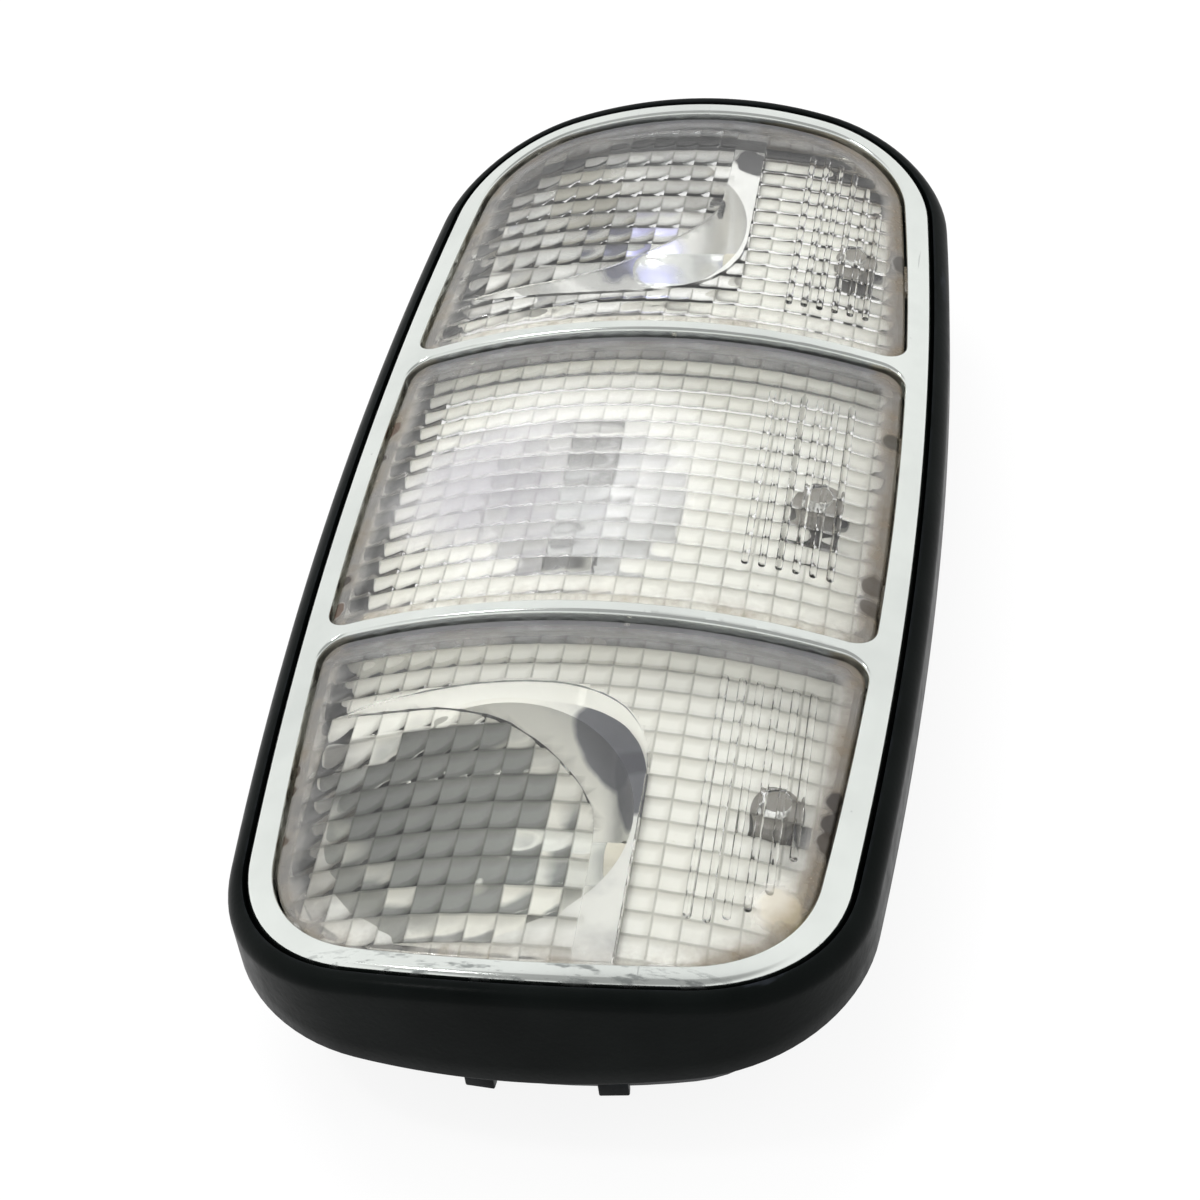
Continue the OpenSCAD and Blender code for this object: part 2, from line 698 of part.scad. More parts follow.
module circuit_board() color("#2f6b46") difference() {
    translate([board_x0, -board_l / 2, board_z]) cube([board_w, board_l, board_t]);
    for (p = pillar_places) translate([p.x, p.y, board_z - over]) cylinder(r = pin_r + slip, h = board_t + 2 * over);
}

module switch_body(side) {
    p = plunger_at(side);
    difference() {
        translate([min(p.x - switch_w / 2, board_x1 - switch_w), p.y - switch_w / 2, switch_z])
            cube([switch_w, switch_w, switch_h]);
        translate([p.x, p.y, switch_z - over]) cylinder(r = stem_r + slip, h = switch_h + 2 * over);
    }
}

module switch_far() color("#2a2c2f") switch_body(FAR);
module switch_centre() color("#2a2c2f") switch_body(CENTRE);
module switch_near() color("#2a2c2f") switch_body(NEAR);

screw_sink = 0.2;

module rear_cover() color("#1f2123") difference() {
    union() {
        prism(face_outline(-rear_inset - cover_gap), 0, cover_t);
        for (p = pillar_places) translate([p.x, p.y, cover_t / 2]) {
            cylinder(r = pillar_r, h = board_z - cover_t / 2);
            cylinder(r = pin_r, h = switch_z - cover_t / 2);
        }
    }
    for (p = boss_places) translate([p.x, p.y, -over]) {
        cylinder(r = screw_head_r + 2 * slip, h = over + screw_sink + screw_head_t);
        cylinder(r = screw_r + slip, h = cover_t + 2 * over);
    }
}

module cover_screws() color("#a9a9a4") for (p = boss_places) translate([p.x, p.y, screw_sink]) {
    cylinder(r = screw_head_r, h = screw_head_t);
    cylinder(r = screw_r, h = screw_l);
}

blade_z = plug_low + plug_h / 2 - blade_h / 2;
plug_back = 1.4;

module connector_shell() color("#30343a") difference() {
    translate([plug_x - plug_w / 2, plug_y0, plug_low]) cube([plug_w, plug_l, plug_h]);
    translate([plug_x - plug_w / 2 + plug_wall, plug_y0 + plug_back, plug_low + plug_wall])
        cube([plug_w - 2 * plug_wall, plug_l, plug_h - 2 * plug_wall]);
    for (k = [-1 : 1])
        translate([plug_x + k * blade_pitch - blade_w / 2 - slip, plug_y0 - over, blade_z - slip])
            cube([blade_w + 2 * slip, plug_l / 2, blade_h + 2 * slip]);
}

module connector_pins() color("#b79a5a") for (k = [-1 : 1])
    translate([plug_x + k * blade_pitch - blade_w / 2, plug_y0 - over, blade_z])
        cube([blade_w, plug_l / 2, blade_h]);

// Bent spring strip on the rear box's side that grips the roof panel
module roof_clip(s) {
    x0 = face_half_w - rear_inset + slip;
    bend_r = 1.1;
    low = 4;
    rise = seat_z - low - free;
    x1 = x0 + 2 * bend_r;
    x2 = x0 + clip_reach;
    x3 = x1 - clip_t / 2;
    mirror([s < 0 ? 1 : 0, 0, 0]) translate([0, clip_w / 2, 0]) rotate([90, 0, 0]) linear_extrude(clip_w) union() {
        translate([x0, low]) square([clip_t, rise]);
        translate([x0 + bend_r, low]) difference() {
            circle(r = bend_r);
            circle(r = bend_r - clip_t);
            translate([-2 * bend_r, 0]) square(4 * bend_r);
        }
        polygon([[x1 - clip_t, low], [x1, low], [x2, low + rise / 2], [x2 - clip_t, low + rise / 2]]);
        polygon([[x2 - clip_t, low + rise / 2], [x2, low + rise / 2], [x3, low + rise], [x3 - clip_t, low + rise]]);
    }
}

module roof_clip_left() color("#8d9092") roof_clip(-1);
module roof_clip_right() color("#8d9092") roof_clip(1);

base_housing();
chrome_frame();
lens_far();
lens_centre();
lens_near();
light_tray();
cup_far();
cup_near();
dish_centre();
plunger_far();
plunger_centre();
plunger_near();
bulb_far();
bulb_near();
bulb_centre();
bulb_holder_far();
bulb_holder_near();
festoon_clips();
circuit_board();
switch_far();
switch_centre();
switch_near();
rear_cover();
cover_screws();
connector_shell();
connector_pins();
roof_clip_left();
roof_clip_right();
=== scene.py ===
import json
import logging
import math
from contextlib import contextmanager
from dataclasses import dataclass
from enum import Enum
from typing import Callable, Iterator, Optional, Sequence

import bpy
import numpy as np
from mathutils import Matrix, Vector

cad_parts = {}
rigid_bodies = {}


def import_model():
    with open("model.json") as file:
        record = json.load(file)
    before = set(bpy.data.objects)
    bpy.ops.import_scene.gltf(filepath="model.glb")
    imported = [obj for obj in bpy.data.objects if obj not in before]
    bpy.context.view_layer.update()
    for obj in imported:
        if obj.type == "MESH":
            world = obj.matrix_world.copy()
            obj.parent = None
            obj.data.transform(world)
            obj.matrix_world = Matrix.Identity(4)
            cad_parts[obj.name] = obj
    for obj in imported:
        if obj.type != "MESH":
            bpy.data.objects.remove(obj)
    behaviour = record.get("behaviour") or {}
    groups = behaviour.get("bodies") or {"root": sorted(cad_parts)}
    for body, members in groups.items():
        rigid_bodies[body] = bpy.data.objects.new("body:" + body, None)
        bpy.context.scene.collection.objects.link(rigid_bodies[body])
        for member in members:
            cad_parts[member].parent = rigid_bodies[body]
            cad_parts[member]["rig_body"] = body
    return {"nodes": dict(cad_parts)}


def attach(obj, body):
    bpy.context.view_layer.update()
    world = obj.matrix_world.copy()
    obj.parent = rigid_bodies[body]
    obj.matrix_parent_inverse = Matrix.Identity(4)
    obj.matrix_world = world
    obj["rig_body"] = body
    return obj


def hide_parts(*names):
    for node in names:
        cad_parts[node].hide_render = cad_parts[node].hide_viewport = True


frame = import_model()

MM = 0.001
LOG = logging.getLogger("dome_lamp")
Array = np.ndarray
Piece = bpy.types.Object
Socket = bpy.types.NodeSocket
Run = tuple[Array, Array]


class Place(Enum):
    """Which of the three light units a piece belongs to, by the sign of its y."""

    FAR = 1
    CENTRE = 0
    NEAR = -1

    @property
    def word(self) -> str:
        """Name of the place as the record writes it."""
        return self.name.lower()


class Cut(Enum):
    """How one solid acts on another."""

    JOIN = "UNION"
    REMOVE = "DIFFERENCE"
    KEEP = "INTERSECT"


def arc(centre: Sequence[float], radius: float, start: float, stop: float, count: int) -> Run:
    """Points along one arc without its last point.

    Args:
        centre: Centre of the arc.
        radius: Radius of the arc.
        start: First angle in radians.
        stop: Last angle in radians.
        count: Number of points.

    Returns:
        Points and outward normals.
    """
    turn = start + (stop - start) * np.arange(count) / count
    way = np.stack([np.cos(turn), np.sin(turn)], axis=1)
    return np.asarray(centre) + radius * way, way


def line(start: Sequence[float], stop: Sequence[float], normal: Sequence[float], count: int) -> Run:
    """Points along a straight edge without its last point.

    Args:
        start: First point.
        stop: Last point.
        normal: Outward normal.
        count: Number of points.

    Returns:
        Points and outward normals.
    """
    share = (np.arange(count) / count)[:, None]
    points = np.asarray(start) * (1 - share) + np.asarray(stop) * share
    return points, np.tile(np.asarray(normal, float), (count, 1))


def level(plan: Array, height: float) -> Array:
    """Points of a plan, all at one height."""
    return np.column_stack([plan, np.full(len(plan), height)])


@dataclass(frozen=True)
class Outline:
    """A closed plan curve, counter-clockwise, that can be grown or shrunk.

    Attributes:
        points: Points of the curve, in millimetres.
        normals: Outward unit normals at the points.
    """

    points: Array
    normals: Array

    @classmethod
    def joined(cls, runs: Sequence[Run]) -> "Outline":
        """Outline made of runs of points and normals."""
        return cls(*(np.concatenate(part) for part in zip(*runs)))

    def at(self, offset: float) -> Array:
        """Points of the curve moved outwards by an offset in millimetres."""
        return self.points + offset * self.normals

    def mirrored(self) -> "Outline":
        """The same curve on the other side of the lamp's middle."""
        flip = np.array([1.0, -1.0])
        return Outline((self.points * flip)[::-1], (self.normals * flip)[::-1])


@dataclass(frozen=True)
class LampShape:
    """Sizes that every piece of the lamp shares, in millimetres, as the part's source has them."""

    half_w: float = 37.0
    half_l: float = 82.0
    side_r: float = 680.0
    end_r: float = 89.0
    corner_r: float = 20.3
    crest_z: float = 29.5
    cross_r: float = 89.6
    long_r: float = 2200.0
    seat_z: float = 13.3
    floor_z: float = 14.9
    window_w: float = 34.0
    window_l: float = 79.4
    window_side_r: float = 600.0
    window_end_r: float = 86.0
    window_corner_r: float = 16.5
    bar_corner_r: float = 3.3
    bar_y: float = 27.06
    bar_w: float = 2.1
    frame_t: float = 3.2
    bowl: tuple = (-9.0, 55.8, 24.5)
    bowl_r: float = 18.0
    dish: tuple = (-6.0, 0.0, 30.6)
    dish_r: float = 17.1
    cap_slot: tuple = (3.6, 6.7, 14.6, 10.3, 29.5)
    push_x: float = 24.2
    push_y: float = 51.0
    lens_gap: float = 0.35
    ear_y: tuple = (46.0, 57.0)
    centre_ear_y: float = 14.0
    ear_r: float = 0.75
    ear_drop: float = 4.25

    def face_z(self, x: Array, y: Array) -> Array:
        """Height of the crowned face over points of the plan."""
        return self.crest_z - self.cross_r + np.sqrt(self.cross_r ** 2 - x * x) - y * y / (2 * self.long_r)

    def height(self, x: float, y: float) -> float:
        """Height of the crowned face over one point."""
        return float(self.face_z(np.array(x), np.array(y)))

    def sunk(self, plan: Array, drop: float) -> Array:
        """Points of a plan at a depth below the crowned face."""
        return np.column_stack([plan, self.face_z(plan[:, 0], plan[:, 1]) - drop])

    def face_edge(self, y: float) -> float:
        """Half width of the chromed frame at a place along the lamp."""
        return self.half_w - self.side_r + math.sqrt(self.side_r ** 2 - y * y)

    def window_edge(self, y: float) -> float:
        """Half width of the windows at a place along the lamp."""
        return self.window_w - self.window_side_r + math.sqrt(self.window_side_r ** 2 - y * y)

    def ears(self, place: Place) -> tuple[float, float]:
        """Places along the lamp of a lens's two hinge ears.

        Args:
            place: Which of the three lenses.

        Returns:
            The lower and the higher place along.
        """
        if place is Place.CENTRE:
            return -self.centre_ear_y, self.centre_ear_y
        return place.value * self.ear_y[0], place.value * self.ear_y[1]

    def ear_axis(self, y: float) -> tuple[float, float]:
        """Place across and height of the hinge axis of the lens whose ear is at a place along.

        Args:
            y: Place along, in millimetres.

        Returns:
            Place across and height.
        """
        ref = 0.0 if abs(y) < self.bar_y else self.ear_y[1]
        x = self.lens_gap - self.ear_r - self.window_edge(ref)
        return x, self.height(x, ref) - self.ear_drop

    def corner_centre(self, a: float, b: float, rs: float, re: float, rc: float) -> Array:
        """Centre of the corner arc that touches a side arc and an end arc.

        Args:
            a: Half width.
            b: Half length.
            rs: Radius of the side arc.
            re: Radius of the end arc.
            rc: Radius of the corner arc.

        Returns:
            The centre in the first quadrant.
        """
        sx, ey = a - rs, b - re
        r1, r2, d = rs - rc, re - rc, math.hypot(sx, ey)
        m = (r1 * r1 - r2 * r2 + d * d) / (2 * d)
        h = math.sqrt(max(r1 * r1 - m * m, 0.0))
        return np.array([sx - m * sx / d - h * ey / d, m * ey / d - h * sx / d])

    def face_outline(self) -> Outline:
        """Outline of the chromed frame.

        Returns:
            The frame's outline.
        """
        a, b, rs, re, rc = self.half_w, self.half_l, self.side_r, self.end_r, self.corner_r
        c = self.corner_centre(a, b, rs, re, rc)
        t1 = math.atan2(c[1], c[0] - (a - rs))
        t2 = math.atan2(c[1] - (b - re), c[0])
        quarter = Outline.joined([
            arc((a - rs, 0), rs, 0, t1, 30),
            arc(c, rc, t1, t2, 18),
            arc((0, b - re), re, t2, math.pi / 2, 18),
            (np.array([[0.0, b]]), np.array([[0.0, 1.0]])),
        ])
        runs = []
        for flip in ((1, 1), (-1, 1), (-1, -1), (1, -1)):
            step = flip[0] * flip[1]
            runs.append(tuple((part * flip)[::step][:-1] for part in (quarter.points, quarter.normals)))
        return Outline.joined(runs)

    def window_outline(self, place: Place) -> Outline:
        """Outline of one window, with its rounded corners.

        Args:
            place: Which of the three windows.

        Returns:
            The outline in its own place.
        """
        a, rs, r = self.window_w, self.window_side_r, self.bar_corner_r
        if place is Place.CENTRE:
            high = self.bar_y - self.bar_w / 2
            cy = high - r
            cx = a - rs + math.sqrt((rs - r) ** 2 - cy * cy)
            t = math.atan2(cy, cx - (a - rs))
            return Outline.joined([
                arc((a - rs, 0), rs, -t, t, 44),
                arc((cx, cy), r, t, math.pi / 2, 10),
                line((cx, high), (-cx, high), (0, 1), 60),
                arc((-cx, cy), r, math.pi / 2, math.pi - t, 10),
                arc((rs - a, 0), rs, math.pi - t, math.pi + t, 44),
                arc((-cx, -cy), r, math.pi + t, 1.5 * math.pi, 10),
                line((-cx, -high), (cx, -high), (0, -1), 60),
                arc((cx, -cy), r, -math.pi / 2, -t, 10),
            ])
        b, re, rc = self.window_l, self.window_end_r, self.window_corner_r
        low = self.bar_y + self.bar_w / 2
        cy = low + r
        cx = a - rs + math.sqrt((rs - r) ** 2 - cy * cy)
        t0 = math.atan2(cy, cx - (a - rs))
        c = self.corner_centre(a, b, rs, re, rc)
        t1 = math.atan2(c[1], c[0] - (a - rs))
        t2 = math.atan2(c[1] - (b - re), c[0])
        shape = Outline.joined([
            line((-cx, low), (cx, low), (0, -1), 60),
            arc((cx, cy), r, -math.pi / 2, t0, 10),
            arc((a - rs, 0), rs, t0, t1, 26),
            arc(c, rc, t1, t2, 24),
            arc((0, b - re), re, t2, math.pi - t2, 40),
            arc((-c[0], c[1]), rc, math.pi - t2, math.pi - t1, 24),
            arc((rs - a, 0), rs, math.pi - t1, math.pi - t0, 26),
            arc((-cx, cy), r, math.pi - t0, 1.5 * math.pi, 10),
        ])
        return shape if place is Place.FAR else shape.mirrored()


class Bench:
    """The work bench: modelling steps that every piece uses."""

    @staticmethod
    def clear() -> None:
        """Leaves edit mode and deselects everything."""
        if bpy.context.object and bpy.context.object.mode != "OBJECT":
            bpy.ops.object.mode_set(mode="OBJECT")
        for item in bpy.context.view_layer.objects:
            item.select_set(False)

    @staticmethod
    def pick(piece: Piece) -> Piece:
        """Selects one object alone and makes it active.

        Args:
            piece: The object.

        Returns:
            The same object.
        """
        Bench.clear()
        piece.select_set(True)
        bpy.context.view_layer.objects.active = piece
        return piece

    @staticmethod
    @contextmanager
    def editing(action: str = "") -> Iterator[None]:
        """Edit mode for a few steps.

        Args:
            action: SELECT or DESELECT to do that with everything first.

        Yields:
            Nothing, once in edit mode.
        """
        bpy.ops.object.mode_set(mode="EDIT")
        if action:
            bpy.ops.mesh.select_all(action=action)
        yield
        bpy.ops.object.mode_set(mode="OBJECT")

    @staticmethod
    def named(name: str) -> Piece:
        """Names the object and mesh just made and rests its transform in the mesh.

        Args:
            name: Name of the object.

        Returns:
            The object.
        """
        piece = bpy.context.object
        bpy.ops.object.transform_apply(location=True, rotation=True, scale=True)
        piece.name = piece.data.name = name
        return piece

    @staticmethod
    def coords(piece: Piece) -> Array:
        """Vertex places of a piece.

        Args:
            piece: The piece.

        Returns:
            Rows of x, y and z in metres.
        """
        out = np.zeros(len(piece.data.vertices) * 3)
        piece.data.vertices.foreach_get("co", out)
        return out.reshape(-1, 3)

    @staticmethod
    def place_vertices(piece: Piece, where: Array) -> None:
        """Moves every vertex to a place given in millimetres."""
        piece.data.vertices.foreach_set("co", (np.asarray(where, float) * MM).ravel())
        piece.data.update()

    @staticmethod
    def outward(piece: Piece, doubles: float = 1e-7) -> Piece:
        """Merges doubles, then turns all faces outwards.

        Args:
            piece: The piece.
            doubles: Distance in metres below which vertices are one.

        Returns:
            The same piece.
        """
        Bench.pick(piece)
        with Bench.editing("SELECT"):
            bpy.ops.mesh.remove_doubles(threshold=doubles)
            bpy.ops.mesh.select_all(action="SELECT")
            bpy.ops.mesh.normals_make_consistent(inside=False)
        return piece

    @staticmethod
    def ring_solid(name: str, rows: Sequence[Array], closed: bool = False) -> Piece:
        """Solid made of rings, as a circle extruded row by row.

        Args:
            name: Name of the piece.
            rows: Rings of x, y, z in millimetres, all with the same number of points.
            closed: Whether the last ring joins the first; otherwise both ends are capped.

        Returns:
            The new object.
        """
        count = len(rows[0])
        Bench.clear()
        bpy.ops.mesh.primitive_circle_add(vertices=count, radius=1.0, fill_type="NOTHING")
        piece = Bench.named(name)
        with Bench.editing("SELECT"):
            for _ in rows[1:]:
                bpy.ops.mesh.extrude_edges_move(TRANSFORM_OT_translate={"value": (0, 0, 1)})
        at = Bench.coords(piece)
        row = np.rint(at[:, 2]).astype(int)
        turn = np.arctan2(at[:, 1], at[:, 0]) % (2 * math.pi)
        spot = np.rint(turn / (2 * math.pi) * count).astype(int) % count
        Bench.place_vertices(piece, np.stack(rows)[row, spot])
        first, last = row == 0, row == len(rows) - 1
        fill = bpy.ops.mesh.bridge_edge_loops if closed else bpy.ops.mesh.edge_face_add
        for chosen in ((first | last,) if closed else (first, last)):
            with Bench.editing("DESELECT"):
                bpy.ops.mesh.select_mode(type="VERT")
            piece.data.vertices.foreach_set("select", chosen)
            piece.data.update()
            with Bench.editing():
                bpy.ops.mesh.select_mode(type="VERT")
                fill()
        return Bench.outward(piece)

    @staticmethod
    def upright(name: str, plan: Array, low: float = 5.0, high: float = 45.0) -> Piece:
        """Upright prism of a plan between two heights in millimetres."""
        return Bench.ring_solid(name, [level(plan, low), level(plan, high)])

    @staticmethod
    def sheet_solid(name: str, xs: Array, ys: Array, shape: Callable[[Array, Array, bool], Array]) -> Piece:
        """Solid between two sheets over a lattice, as a grid extruded downwards.

        Args:
            name: Name of the piece.
            xs: Lattice places across.
            ys: Lattice places along.
            shape: Gives x, y, z in millimetres for lattice points; the flag asks for the lower sheet.

        Returns:
            The new object.
        """
        nx, ny = len(xs) - 1, len(ys) - 1
        Bench.clear()
        bpy.ops.mesh.primitive_grid_add(x_subdivisions=nx, y_subdivisions=ny, size=2.0)
        piece = Bench.named(name)
        with Bench.editing("SELECT"):
            bpy.ops.mesh.extrude_region_move(TRANSFORM_OT_translate={"value": (0, 0, -1)})
        at = Bench.coords(piece)
        x = xs[np.rint((at[:, 0] + 1) / 2 * nx).astype(int)]
        y = ys[np.rint((at[:, 1] + 1) / 2 * ny).astype(int)]
        Bench.place_vertices(piece, np.where(at[:, 2:] < -0.5, shape(x, y, True), shape(x, y, False)))
        return Bench.outward(piece, 1e-9)

    @staticmethod
    def block(name: str, low: Sequence[float], high: Sequence[float], bevel: float = 0.0) -> Piece:
        """Box between two corners in millimetres, with bevelled edges if asked.

        Args:
            name: Name of the piece.
            low: Lowest corner.
            high: Highest corner.
            bevel: Width of the bevel in millimetres.

        Returns:
            The new object.
        """
        Bench.clear()
        bpy.ops.mesh.primitive_cube_add(size=1.0)
        piece = Bench.named(name)
        low, high = np.sort([low, high], axis=0)
        Bench.place_vertices(piece, (Bench.coords(piece) + 0.5) * (high - low) + low)
        if bevel:
            with Bench.editing("SELECT"):
                bpy.ops.mesh.bevel(offset=bevel * MM, segments=2, affect="EDGES")
        return piece

    @staticmethod
    def rod(
        name: str, start: Sequence[float], stop: Sequence[float], radius: float, sides: int = 32, bevel: float = 0.0,
    ) -> Piece:
        """Round rod between two points in millimetres.

        Args:
            name: Name of the piece.
            start: Middle of one end.
            stop: Middle of the other end.
            radius: Radius of the rod.
            sides: Number of sides.
            bevel: Width of a bevel round both ends.

        Returns:
            The new object.
        """
        a, b = Vector(start) * MM, Vector(stop) * MM
        way = b - a
        Bench.clear()
        bpy.ops.mesh.primitive_cylinder_add(vertices=sides, radius=radius * MM, depth=way.length)
        piece = bpy.context.object
        if bevel:
            Bench.ease(piece, bevel, 3, 60)
        piece.data.transform(Matrix.Translation((a + b) / 2) @ way.to_track_quat("Z", "Y").to_matrix().to_4x4())
        return Bench.named(name)

    @staticmethod
    def ball(name: str, centre: Sequence[float], radius: float, rings: int = 72) -> Piece:
        """Ball at a place in millimetres, as a cutter or the start of a bowl.

        Args:
            name: Name of the object.
            centre: Centre in millimetres.
            radius: Radius in millimetres.
            rings: Rings of faces from pole to pole.

        Returns:
            The new object.
        """
        Bench.clear()
        bpy.ops.mesh.primitive_uv_sphere_add(
            segments=2 * rings, ring_count=rings, radius=radius * MM, location=Vector(centre) * MM)
        return Bench.named(name)

    @staticmethod
    def apply(piece: Piece, tool: bpy.types.Modifier) -> None:
        """Applies one modifier of a piece."""
        Bench.pick(piece)
        bpy.ops.object.modifier_apply(modifier=tool.name)

    @staticmethod
    def ease(piece: Piece, width: float, segments: int, angle: float) -> None:
        """Bevels the edges of a piece that are sharper than an angle.

        Args:
            piece: The piece.
            width: Width of the bevel in millimetres.
            segments: Steps of the bevel.
            angle: The angle in degrees.
        """
        tool = piece.modifiers.new("ease", "BEVEL")
        tool.width, tool.segments, tool.limit_method = width * MM, segments, "ANGLE"
        tool.angle_limit = math.radians(angle)
        Bench.apply(piece, tool)

    @staticmethod
    def combine(piece: Piece, cut: Cut, *others: Piece) -> Piece:
        """Joins, removes or keeps the common part of a solid and others.

        Args:
            piece: Solid that is changed.
            cut: How the others act on it.
            others: Solids that act on it one by one and are used up.

        Returns:
            The changed piece.
        """
        for other in others:
            tool = piece.modifiers.new(cut.name.lower(), "BOOLEAN")
            tool.operation, tool.object, tool.solver = cut.value, other, "MANIFOLD"
            Bench.apply(piece, tool)
            bpy.data.objects.remove(other)
            if not len(piece.data.vertices):
                raise ValueError(f"{piece.name}: nothing left after {cut.name}")
        return piece

    @staticmethod
    def smooth(piece: Piece, angle: float) -> None:
        """Shades a piece smooth where its faces meet below an angle in degrees."""
        Bench.pick(piece)
        bpy.ops.object.shade_smooth_by_angle(angle=math.radians(angle))

    @staticmethod
    def copy_of_node(node: str, name: str, bevel: float, angle: float) -> Piece:
        """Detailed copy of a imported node: merged, with eased edges and smooth round faces.

        Args:
            node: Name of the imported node.
            name: Name of the new piece.
            bevel: Width of the eased edges in millimetres.
            angle: Angle in degrees below which faces are shaded smooth.

        Returns:
            The new object.
        """
        piece = bpy.data.objects.new(name, frame["nodes"][node].data.copy())
        piece.data.name = name
        bpy.context.scene.collection.objects.link(piece)
        piece.data.materials.clear()
        Bench.outward(piece, 2e-6)
        with Bench.editing("SELECT"):
            bpy.ops.mesh.dissolve_limited(angle_limit=math.radians(0.5))
        if bevel:
            Bench.ease(piece, bevel, 2, 40)
        Bench.smooth(piece, angle)
        return piece

    @staticmethod
    def hand_over(piece: Piece, finish: "Finish", body: str, node: str) -> None:
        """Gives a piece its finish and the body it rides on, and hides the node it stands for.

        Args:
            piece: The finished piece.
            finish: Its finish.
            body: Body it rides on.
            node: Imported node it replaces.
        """
        piece.data.materials.clear()
        piece.data.materials.append(finish.material())
        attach(piece, body)
        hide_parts(node)
        LOG.info("%s: %d faces, %s", piece.name, len(piece.data.polygons), finish.slot)


class Net:
    """A node tree, with short calls for the nodes that finishes and the surroundings need."""

    def __init__(self, owner: bpy.types.ID) -> None:
        """Starts an empty node tree for a material or a world.

        Args:
            owner: The material or world.
        """
        owner.use_nodes = True
        self.tree = owner.node_tree
        self.tree.nodes.clear()

    def node(self, kind: str, **values: object) -> bpy.types.Node:
        """Adds a node and sets its properties.

        Args:
            kind: Kind of node, without its leading ShaderNode.
            values: Its properties.

        Returns:
            The node.
        """
        made = self.tree.nodes.new("ShaderNode" + kind)
        for key, value in values.items():
            setattr(made, key, value)
        return made

    def feed(self, node: bpy.types.Node, values: dict) -> bpy.types.Node:
        """Sets or links the inputs of a node.

        Args:
            node: The node.
            values: Values or sockets by the input's name or number.

        Returns:
            The same node.
        """
        for key, value in values.items():
            if isinstance(value, Socket):
                self.tree.links.new(value, node.inputs[key])
            else:
                node.inputs[key].default_value = value
        return node

    def made(self, kind: str, output: object, values: dict, **settings: object) -> Socket:
        """Adds a node with its inputs and gives one of its outputs."""
        return self.feed(self.node(kind, **settings), values).outputs[output]

    def maths(self, what: str, a: object, b: object = 0.0) -> Socket:
        """One sum on two values."""
        return self.made("Math", 0, {0: a, 1: b}, operation=what)

    def times(self, a: object, b: object) -> Socket:
        """Product of two values."""
        return self.maths("MULTIPLY", a, b)

    def most(self, a: object, b: object) -> Socket:
        """The larger of two values."""
        return self.maths("MAXIMUM", a, b)

    def blend(self, share: Socket, first: Socket, second: Socket) -> Socket:
        """Mixes two shaders by a share."""
        return self.made("MixShader", 0, {0: share, 1: first, 2: second})


class Sheet(Net):
    """A material's node sheet around one Principled shader."""

    def __init__(self, name: str) -> None:
        """Starts an empty material with one Principled shader.

        Args:
            name: Name of the material.
        """
        self.material = bpy.data.materials.new(name)
        super().__init__(self.material)
        self.out = self.node("OutputMaterial")
        self.shader = self.node("BsdfPrincipled")
        self.surface = self.shader.outputs["BSDF"]
        self.feed(self.out, {"Surface": self.surface})
        self.place = self.node("TexCoord").outputs["Object"]

    def mapped(self, scale: Sequence[float], turn: float = 0.0) -> Socket:
        """Object coordinates scaled and turned about z."""
        return self.made("Mapping", 0, {"Vector": self.place, "Scale": scale, "Rotation": (0, 0, turn)})

    def noise(self, scale: float, detail: float = 3.0, rough: float = 0.5, vector: Optional[Socket] = None) -> Socket:
        """Noise value; the scale counts patches per metre."""
        values = {"Vector": vector or self.place, "Scale": scale, "Detail": detail, "Roughness": rough}
        return self.made("TexNoise", "Fac", values)

    def spots(self, scale: float) -> Socket:
        """Distance to scattered points; the scale counts points per metre."""
        return self.made("TexVoronoi", "Distance", {"Vector": self.place, "Scale": scale})

    def layer(self, name: str) -> Socket:
        """Value of one of the mesh's own attributes."""
        return self.node("Attribute", attribute_name=name).outputs["Fac"]

    def span(self, value: Socket, low: float, high: float, to_low: float = 0.0, to_high: float = 1.0) -> Socket:
        """Maps one range of a value to another, held at its ends."""
        values = {"Value": value, "From Min": low, "From Max": high, "To Min": to_low, "To Max": to_high}
        return self.made("MapRange", "Result", values)

    def mix(self, share: object, a: object, b: object) -> Socket:
        """Mixes two colours."""
        return self.made("Mix", 2, {0: share, 6: a, 7: b}, data_type="RGBA")

    def patch(self, patch: "Patch") -> Socket:
        """How far a point lies in a patch.

        Args:
            patch: The patch.

        Returns:
            From 0 outside to the patch's share inside.
        """
        middle = tuple(c * MM for c in patch.place)
        away = self.made("VectorMath", "Value", {0: self.place, 1: middle}, operation="DISTANCE")
        stray = self.span(self.noise(260, 3), 0.3, 0.7, -patch.wobble * MM, patch.wobble * MM)
        inner, outer = ((patch.radius + side * patch.soft / 2) * MM for side in (-1, 1))
        return self.span(self.maths("ADD", away, stray), outer, inner, 0.0, patch.share)

    def bump(self, height: Socket, distance: float, strength: float = 1.0) -> None:
        """Adds relief to the shader; the distance is in metres."""
        values = {"Height": height, "Distance": distance, "Strength": strength}
        self.feed(self.shader, {"Normal": self.made("Bump", "Normal", values)})

    def look(self, **values: object) -> None:
        """Sets or links inputs of the Principled shader, with underscores for spaces."""
        self.feed(self.shader, {key.replace("_", " "): value for key, value in values.items()})

    def pass_shadow(self, colour: tuple) -> None:
        """Lets shadow rays through in a colour, so that lamps light what lies behind.

        Args:
            colour: Colour the light takes on the way.
        """
        through = self.made("BsdfTransparent", 0, {"Color": colour})
        shadow = self.node("LightPath").outputs["Is Shadow Ray"]
        self.feed(self.out, {"Surface": self.blend(shadow, self.surface, through)})


def rgb(red: float, green: float, blue: float) -> tuple[float, float, float, float]:
    """Opaque linear colour."""
    return (red, green, blue, 1.0)


